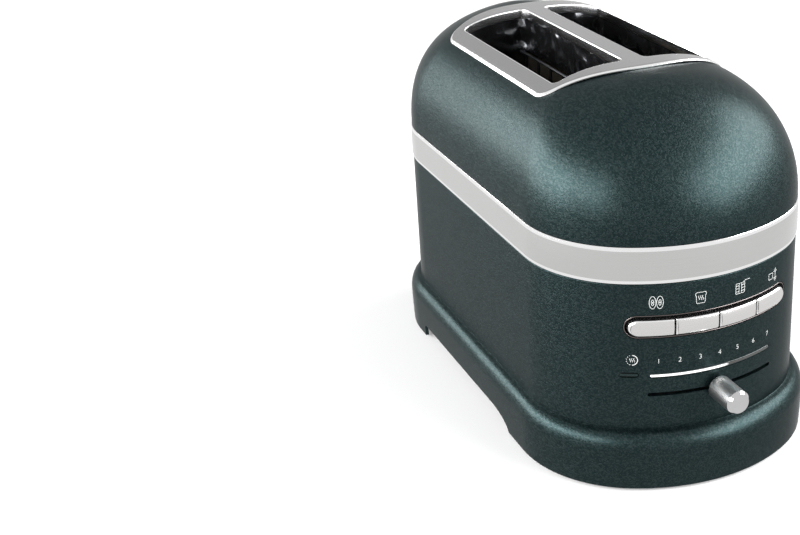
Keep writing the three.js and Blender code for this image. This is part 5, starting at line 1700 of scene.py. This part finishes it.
class TOASTER_OT_bread_wires(ToasterOperator):
    """Grows the bread guides and the carriers from their counts"""

    bl_idname = "toaster.bread_wires"
    bl_label = "Bread guides and carriers"

    def execute(self, context):
        inside = context.scene.toaster_inside
        guides, carriers = self.guide_tree(), self.carrier_tree()
        guide_sizes = {
            "Upright radius": inside.upright, "Wires": inside.guide_wires,
            "Pivot front": GUIDE_LOW.y, "Pivot back": GUIDE_HIGH.y,
            "Bottom": GUIDE_LOW.z + inside.wire, "Top": GUIDE_HIGH.z - inside.wire}
        carrier_sizes = {
            "Bars": inside.carrier_bars, "Reach": inside.carrier_half_width, "Tail": CARRIER_LOW.y,
            "Nose": CARRIER_HIGH.y, "Top": CARRIER_HIGH.z, "Rail": inside.rail_height,
            "Tab": inside.tab_height}
        for name, _ in SIDES:
            for kind in ("inner", "outer"):
                node, body = f"guide_{kind}_{name}", f"{kind}_guide_{name}"
                self.grow_wires(guides, inside, node, body, guide_sizes)
            self.grow_wires(carriers, inside, f"bread_carrier_{name}", "bread_lift", carrier_sizes)
        return {"FINISHED"}

    def grow_wires(self, tree, inside, node, body, sizes):
        piece = new_piece(f"{node}_fine", bpy.data.meshes.new(node))
        tree.grow(piece, sizes | {
            "Across": middle_of(node).x, "Radius": inside.wire, "Material": wire_finish(),
            "Front": body_middle() - inside.guide_front, "Back": body_middle() + inside.guide_back})
        weld(piece.data)
        finish_piece(piece, body, [node])

    def guide_tree(self):
        """Upright wires between a pivot wire and a top wire."""
        numbers = ["Across", "Radius", "Upright radius", "Front", "Back", "Pivot front", "Pivot back",
                   "Bottom", "Top"]
        recipe = GeometryRecipe("wire_guide", numbers, Wires="Int")
        x, radius = recipe.given("Across", "Radius")
        front, back, bottom, top = recipe.given("Front", "Back", "Bottom", "Top")
        spots = self.spots(recipe, x, front, back, 0.0, recipe.given("Wires"))
        upright = recipe.wire(
            recipe.vector(0.0, 0.0, bottom), recipe.vector(0.0, 0.0, top), recipe.given("Upright radius"))
        uprights = recipe.add("GeometryNodeInstanceOnPoints", inputs={
            "Points": spots, "Instance": upright})
        rail = recipe.wire(recipe.vector(x, front, top), recipe.vector(x, back, top), radius)
        pivot = recipe.wire(recipe.vector(x, recipe.given("Pivot front"), bottom),
                            recipe.vector(x, recipe.given("Pivot back"), bottom), radius)
        return recipe.deliver(recipe.painted(recipe.joined(uprights, rail, pivot)))

    def carrier_tree(self):
        """Cross bars on a flat rail with a tab at each end."""
        numbers = ["Across", "Radius", "Reach", "Front", "Back", "Tail", "Nose", "Top", "Rail", "Tab"]
        recipe = GeometryRecipe("bread_carrier", numbers, Bars="Int")
        x, radius, top = recipe.given("Across", "Radius", "Top")
        front, back, reach = recipe.given("Front", "Back", "Reach")
        spots = self.spots(recipe, x, front, back, top - radius, recipe.given("Bars"))
        bar = recipe.wire(recipe.vector(-reach, 0.0, 0.0), recipe.vector(reach, 0.0, 0.0), radius)
        bars = recipe.add("GeometryNodeInstanceOnPoints", inputs={"Points": spots, "Instance": bar})
        rail = self.plate(recipe, x, front, back, top - recipe.given("Rail"), top, radius)
        low, high = top - recipe.given("Tab"), top - recipe.given("Rail") * 0.5
        tail = self.plate(recipe, x, recipe.given("Tail"), front, low, high, radius)
        nose = self.plate(recipe, x, back, recipe.given("Nose"), low, high, radius)
        return recipe.deliver(recipe.painted(recipe.joined(bars, rail, tail, nose)))

    def spots(self, recipe, x, front, back, height, number):
        """Points in the middles of equal steps from front to back."""
        pitch = (back - front) / number
        return recipe.add("GeometryNodeMeshLine", {"mode": "OFFSET"}, {
            "Count": number, "Start Location": recipe.vector(x, front + pitch * 0.5, height),
            "Offset": recipe.vector(0.0, pitch, 0.0)})

    def plate(self, recipe, x, front, back, low, high, radius):
        """An upright flat strip along Y."""
        section = recipe.add("GeometryNodeCurvePrimitiveQuadrilateral", {"mode": "RECTANGLE"}, {
            "Width": radius * 2, "Height": high - low})
        middle = (low + high) * 0.5
        path = recipe.add("GeometryNodeCurvePrimitiveLine", inputs={
            "Start": recipe.vector(x, front, middle), "End": recipe.vector(x, back, middle)})
        return recipe.swept(path, section)


class TOASTER_OT_heaters(ToasterOperator):
    """Winds the heating ribbons on their mica cards"""

    bl_idname = "toaster.heaters"
    bl_label = "Heaters"

    def execute(self, context):
        inside = context.scene.toaster_inside
        tree = self.ribbon_tree()
        for name, side in SIDES:
            for kind in ("inner", "outer"):
                self.add_heater(tree, inside, f"heater_{kind}_{name}", side if kind == "inner" else -side)
        return {"FINISHED"}

    def add_heater(self, tree, inside, node, facing):
        low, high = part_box(node)
        back_face = low.x if facing > 0 else high.x
        x = back_face + facing * inside.card / 2
        piece = new_piece(f"{node}_fine", bpy.data.meshes.new(node))
        tree.grow(piece, {
            "Across": x, "Front": low.y, "Back": high.y, "Bottom": low.z, "Top": high.z,
            "Card": inside.card, "Ribbon": inside.ribbon, "Width": inside.ribbon_height,
            "Turns": inside.ribbon_turns,
            "Margin": inside.ribbon_margin, "Material": mica_finish(), "Metal": ribbon_finish()})
        finish_piece(piece, "housing", [node])

    def ribbon_tree(self):
        """Level turns of ribbon round a flat card."""
        numbers = ["Across", "Front", "Back", "Bottom", "Top", "Card", "Ribbon", "Width", "Margin"]
        recipe = GeometryRecipe("wound_card", numbers, Turns="Int", Metal="Material")
        front, back, low, high = recipe.given("Front", "Back", "Bottom", "Top")
        x, margin, card, ribbon = recipe.given("Across", "Margin", "Card", "Ribbon")
        middle = recipe.vector(x, (front + back) * 0.5, (low + high) * 0.5)
        sheet = recipe.add("GeometryNodeMeshCube", inputs={
            "Size": recipe.vector(card, back - front, high - low)})
        placed = recipe.add("GeometryNodeTransform", inputs={"Geometry": sheet, "Translation": middle})
        pitch = (high - low - margin * 2.0) / recipe.given("Turns")
        spots = recipe.add("GeometryNodeMeshLine", {"mode": "OFFSET"}, {
            "Count": recipe.given("Turns"), "Offset": recipe.vector(0.0, 0.0, pitch),
            "Start Location": recipe.vector(x, (front + back) * 0.5, low + margin + pitch * 0.5)})
        loop = recipe.add("GeometryNodeCurvePrimitiveQuadrilateral", {"mode": "RECTANGLE"}, {
            "Width": card + ribbon, "Height": back - front - margin * 2.0})
        section = recipe.add("GeometryNodeCurvePrimitiveQuadrilateral", {"mode": "RECTANGLE"}, {
            "Width": ribbon, "Height": recipe.given("Width")})
        turn = recipe.swept(loop, section)
        turns = recipe.add("GeometryNodeInstanceOnPoints", inputs={"Points": spots, "Instance": turn})
        return recipe.deliver(recipe.joined(recipe.painted(placed), recipe.painted(turns, "Metal")))


class TOASTER_OT_crumb_tray(ToasterOperator):
    """Presses the crumb tray with round corners and beads across its floor"""

    bl_idname = "toaster.crumb_tray"
    bl_label = "Crumb tray"

    def execute(self, context):
        inside = context.scene.toaster_inside
        sheet = inside.tray_sheet
        middle = body_middle()
        low, high = TRAY_LOW.z, TRAY_HIGH.z
        bead_end = 0.85 * TRAY_HIGH.x

        def loop(inset):
            radius = max(inside.tray_corner - inset, sheet)
            return rounded_rectangle(TRAY_LOW.x + inset, TRAY_HIGH.x - inset, TRAY_LOW.y - middle + inset,
                                     TRAY_HIGH.y - middle - inset, radius, steps=8, pitch=0.004)

        def floor(height):
            def place(x, y):
                wave = math.cos(2 * math.pi * (y / inside.bead_pitch - 0.5))
                bead = max(0.0, wave) ** 3 if abs(x) < bead_end else 0.0
                return (x, y, height + inside.bead_height * bead)
            return place

        shape = Shape()
        turn = rounding(sheet, sheet, EDGE_STEPS)
        rings = [at_height(loop(inset), low + fall) for inset, fall in reversed(turn)]
        rings += [at_height(loop(inset), z)
                  for inset, z in ((0, high), (sheet, high), (sheet, low + sheet))]
        shape.loft(rings)
        shape.skin(loop(sheet), [], inside.floor_pitch, floor(low + sheet))
        shape.skin(loop(sheet), [], 2 * inside.floor_pitch, floor(low))
        fine_piece("crumb_tray", shape, "tray", steel_finish())
        return {"FINISHED"}


class TOASTER_OT_underside(ToasterOperator):
    """Sets the rubber feet, the screws and the cord grommet under the base"""

    bl_idname = "toaster.underside"
    bl_label = "Underside"

    def execute(self, context):
        tree = self.scatter_tree()
        radius = (FOOT_HIGH.x - FOOT_LOW.x) / 2
        foot = [(radius * out, radius * up) for out, up in FOOT_PAD]
        foot += [(radius * out, FOOT_HIGH.z * up) for out, up in FOOT_STEM]
        self.scatter(tree, "rubber_feet", foot, "rubber_foot", "black_rubber",
                     moulded_finish("foot_rubber", colours().rubber, roughness=0.7))
        low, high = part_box("base_screw_front_left")
        head = (high.x - low.x) / 2
        screw = [(head * out, up) for out, up in SCREW_HEAD] + [(head * SCREW_SHANK, high.z - low.z)]
        self.scatter(tree, "base_screws", screw, "base_screw", "sheet_steel", steel_finish())
        self.add_grommet()
        return {"FINISHED"}

    def scatter_tree(self):
        """Copies of one piece on the points of a mesh."""
        recipe = GeometryRecipe("scatter", Piece="Object")
        copy = recipe.add("GeometryNodeObjectInfo", inputs={
            "Object": recipe.given("Piece")}).output("Geometry")
        copies = recipe.add("GeometryNodeInstanceOnPoints", inputs={
            "Points": recipe.given("Geometry"), "Instance": copy})
        return recipe.deliver(recipe.painted(copies))

    def scatter(self, tree, name, profile, node_stem, slot, material):
        """One piece of copies that stand where a stem's nodes do."""
        nodes = [n for n in sorted(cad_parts) if n.startswith(node_stem)]
        template = new_piece("template", self.turned(profile))
        mesh = bpy.data.meshes.new(name)
        mesh.from_pydata([(*middle_of(node).xy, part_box(node)[0].z) for node in nodes], [], [])
        piece = new_piece(name, mesh)
        tree.grow(piece, {"Piece": template, "Material": material})
        discard(template)
        finish_piece(piece, "housing", nodes)

    def turned(self, profile, steps=48):
        """A profile of radius and height turned about Z."""
        mesh = bpy.data.meshes.new("turned")
        shape = Shape()
        shape.loft([at_height(circle(radius, steps), z) for radius, z in profile], capped=True)
        mesh.from_pydata(shape.points, [], shape.faces)
        weld(mesh)
        return mesh

    def add_grommet(self, steps=48):
        """A ring with a flange at either end and round edges at its bore."""
        low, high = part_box("cord_grommet")
        centre = middle_of("cord_grommet")
        outer = (high.x - low.x) / 2
        bore, neck, flange = outer * 0.5, outer * 0.81, (high.z - low.z) * 0.2
        half = [(bore, flange), (bore + flange, 0), (outer - flange / 2, 0), (outer, flange / 2),
                (outer, flange), (neck, flange)]
        section = [(reach, low.z + rise) for reach, rise in half]
        section += [(reach, high.z - rise) for reach, rise in reversed(half)]
        shape = Shape()
        shape.loft([[(centre.x + x, centre.y - body_middle() + y, z) for x, y in circle(radius, steps)]
                    for radius, z in section], closed=True)
        rubber = moulded_finish("foot_rubber", colours().rubber, roughness=0.7)
        fine_piece("cord_grommet", shape, "housing", rubber)


class TOASTER_OT_frame_finishes(ToasterOperator):
    """Gives the frame's own pieces their finishes"""

    bl_idname = "toaster.frame_finishes"
    bl_label = "Frame finishes"

    def execute(self, context):
        plastic = moulded_finish("moulded_plastic", colours().plastic, roughness=0.5)
        nylon = moulded_finish("gear_nylon", colours().plastic, roughness=0.42, cell=0.002, depth=0.00003)
        for material, nodes in (
                (plastic, ("base_plate", "slider_track")),
                (nylon, ("slider_carriage", "lift_rack", "motor_pinion")),
                (chamber_finish(), ("chamber_front_plate", "chamber_rear_plate", "reflector_left",
                                    "reflector_right")),
                (steel_finish(), ("guide_rod_left", "guide_rod_right", "lift_bracket", "motor_bridge",
                                  "lift_motor")),
                (board_finish(), ("panel_board", "control_board"))):
            for node in nodes:
                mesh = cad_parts[node].data
                mesh.materials.clear()
                mesh.materials.append(material)
        return {"FINISHED"}


class TOASTER_PT_panel(Panel):
    """Lists the toaster's sizes and the buttons that build it"""

    bl_idname = "TOASTER_PT_panel"
    bl_label = "Toaster"
    bl_space_type = "VIEW_3D"
    bl_region_type = "UI"
    bl_category = "Toaster"

    def draw(self, context):
        layout = self.layout
        for operator in OPERATORS:
            layout.operator(operator.bl_idname)
        for name, group in GROUPS.items():
            box = layout.box()
            box.label(text=group.__doc__)
            for field in group.__annotations__:
                box.prop(getattr(context.scene, name), field)


OPERATORS = (
    TOASTER_OT_stage,
    TOASTER_OT_upper_shell,
    TOASTER_OT_lower_housing,
    TOASTER_OT_trim_band,
    TOASTER_OT_slot_trim,
    TOASTER_OT_buttons,
    TOASTER_OT_lights,
    TOASTER_OT_marks,
    TOASTER_OT_knob,
    TOASTER_OT_bread_wires,
    TOASTER_OT_heaters,
    TOASTER_OT_crumb_tray,
    TOASTER_OT_underside,
    TOASTER_OT_frame_finishes,
)


def register():
    for item in (*GROUPS.values(), *OPERATORS, TOASTER_PT_panel):
        bpy.utils.register_class(item)
    for name, group in GROUPS.items():
        setattr(bpy.types.Scene, name, PointerProperty(type=group))


def unregister():
    for name in GROUPS:
        delattr(bpy.types.Scene, name)
    for item in (TOASTER_PT_panel, *reversed(OPERATORS), *reversed(GROUPS.values())):
        bpy.utils.unregister_class(item)


def main():
    register()
    for operator in OPERATORS:
        group, name = operator.bl_idname.split(".")
        getattr(getattr(bpy.ops, group), name)()


if __name__ == "__main__":
    main()
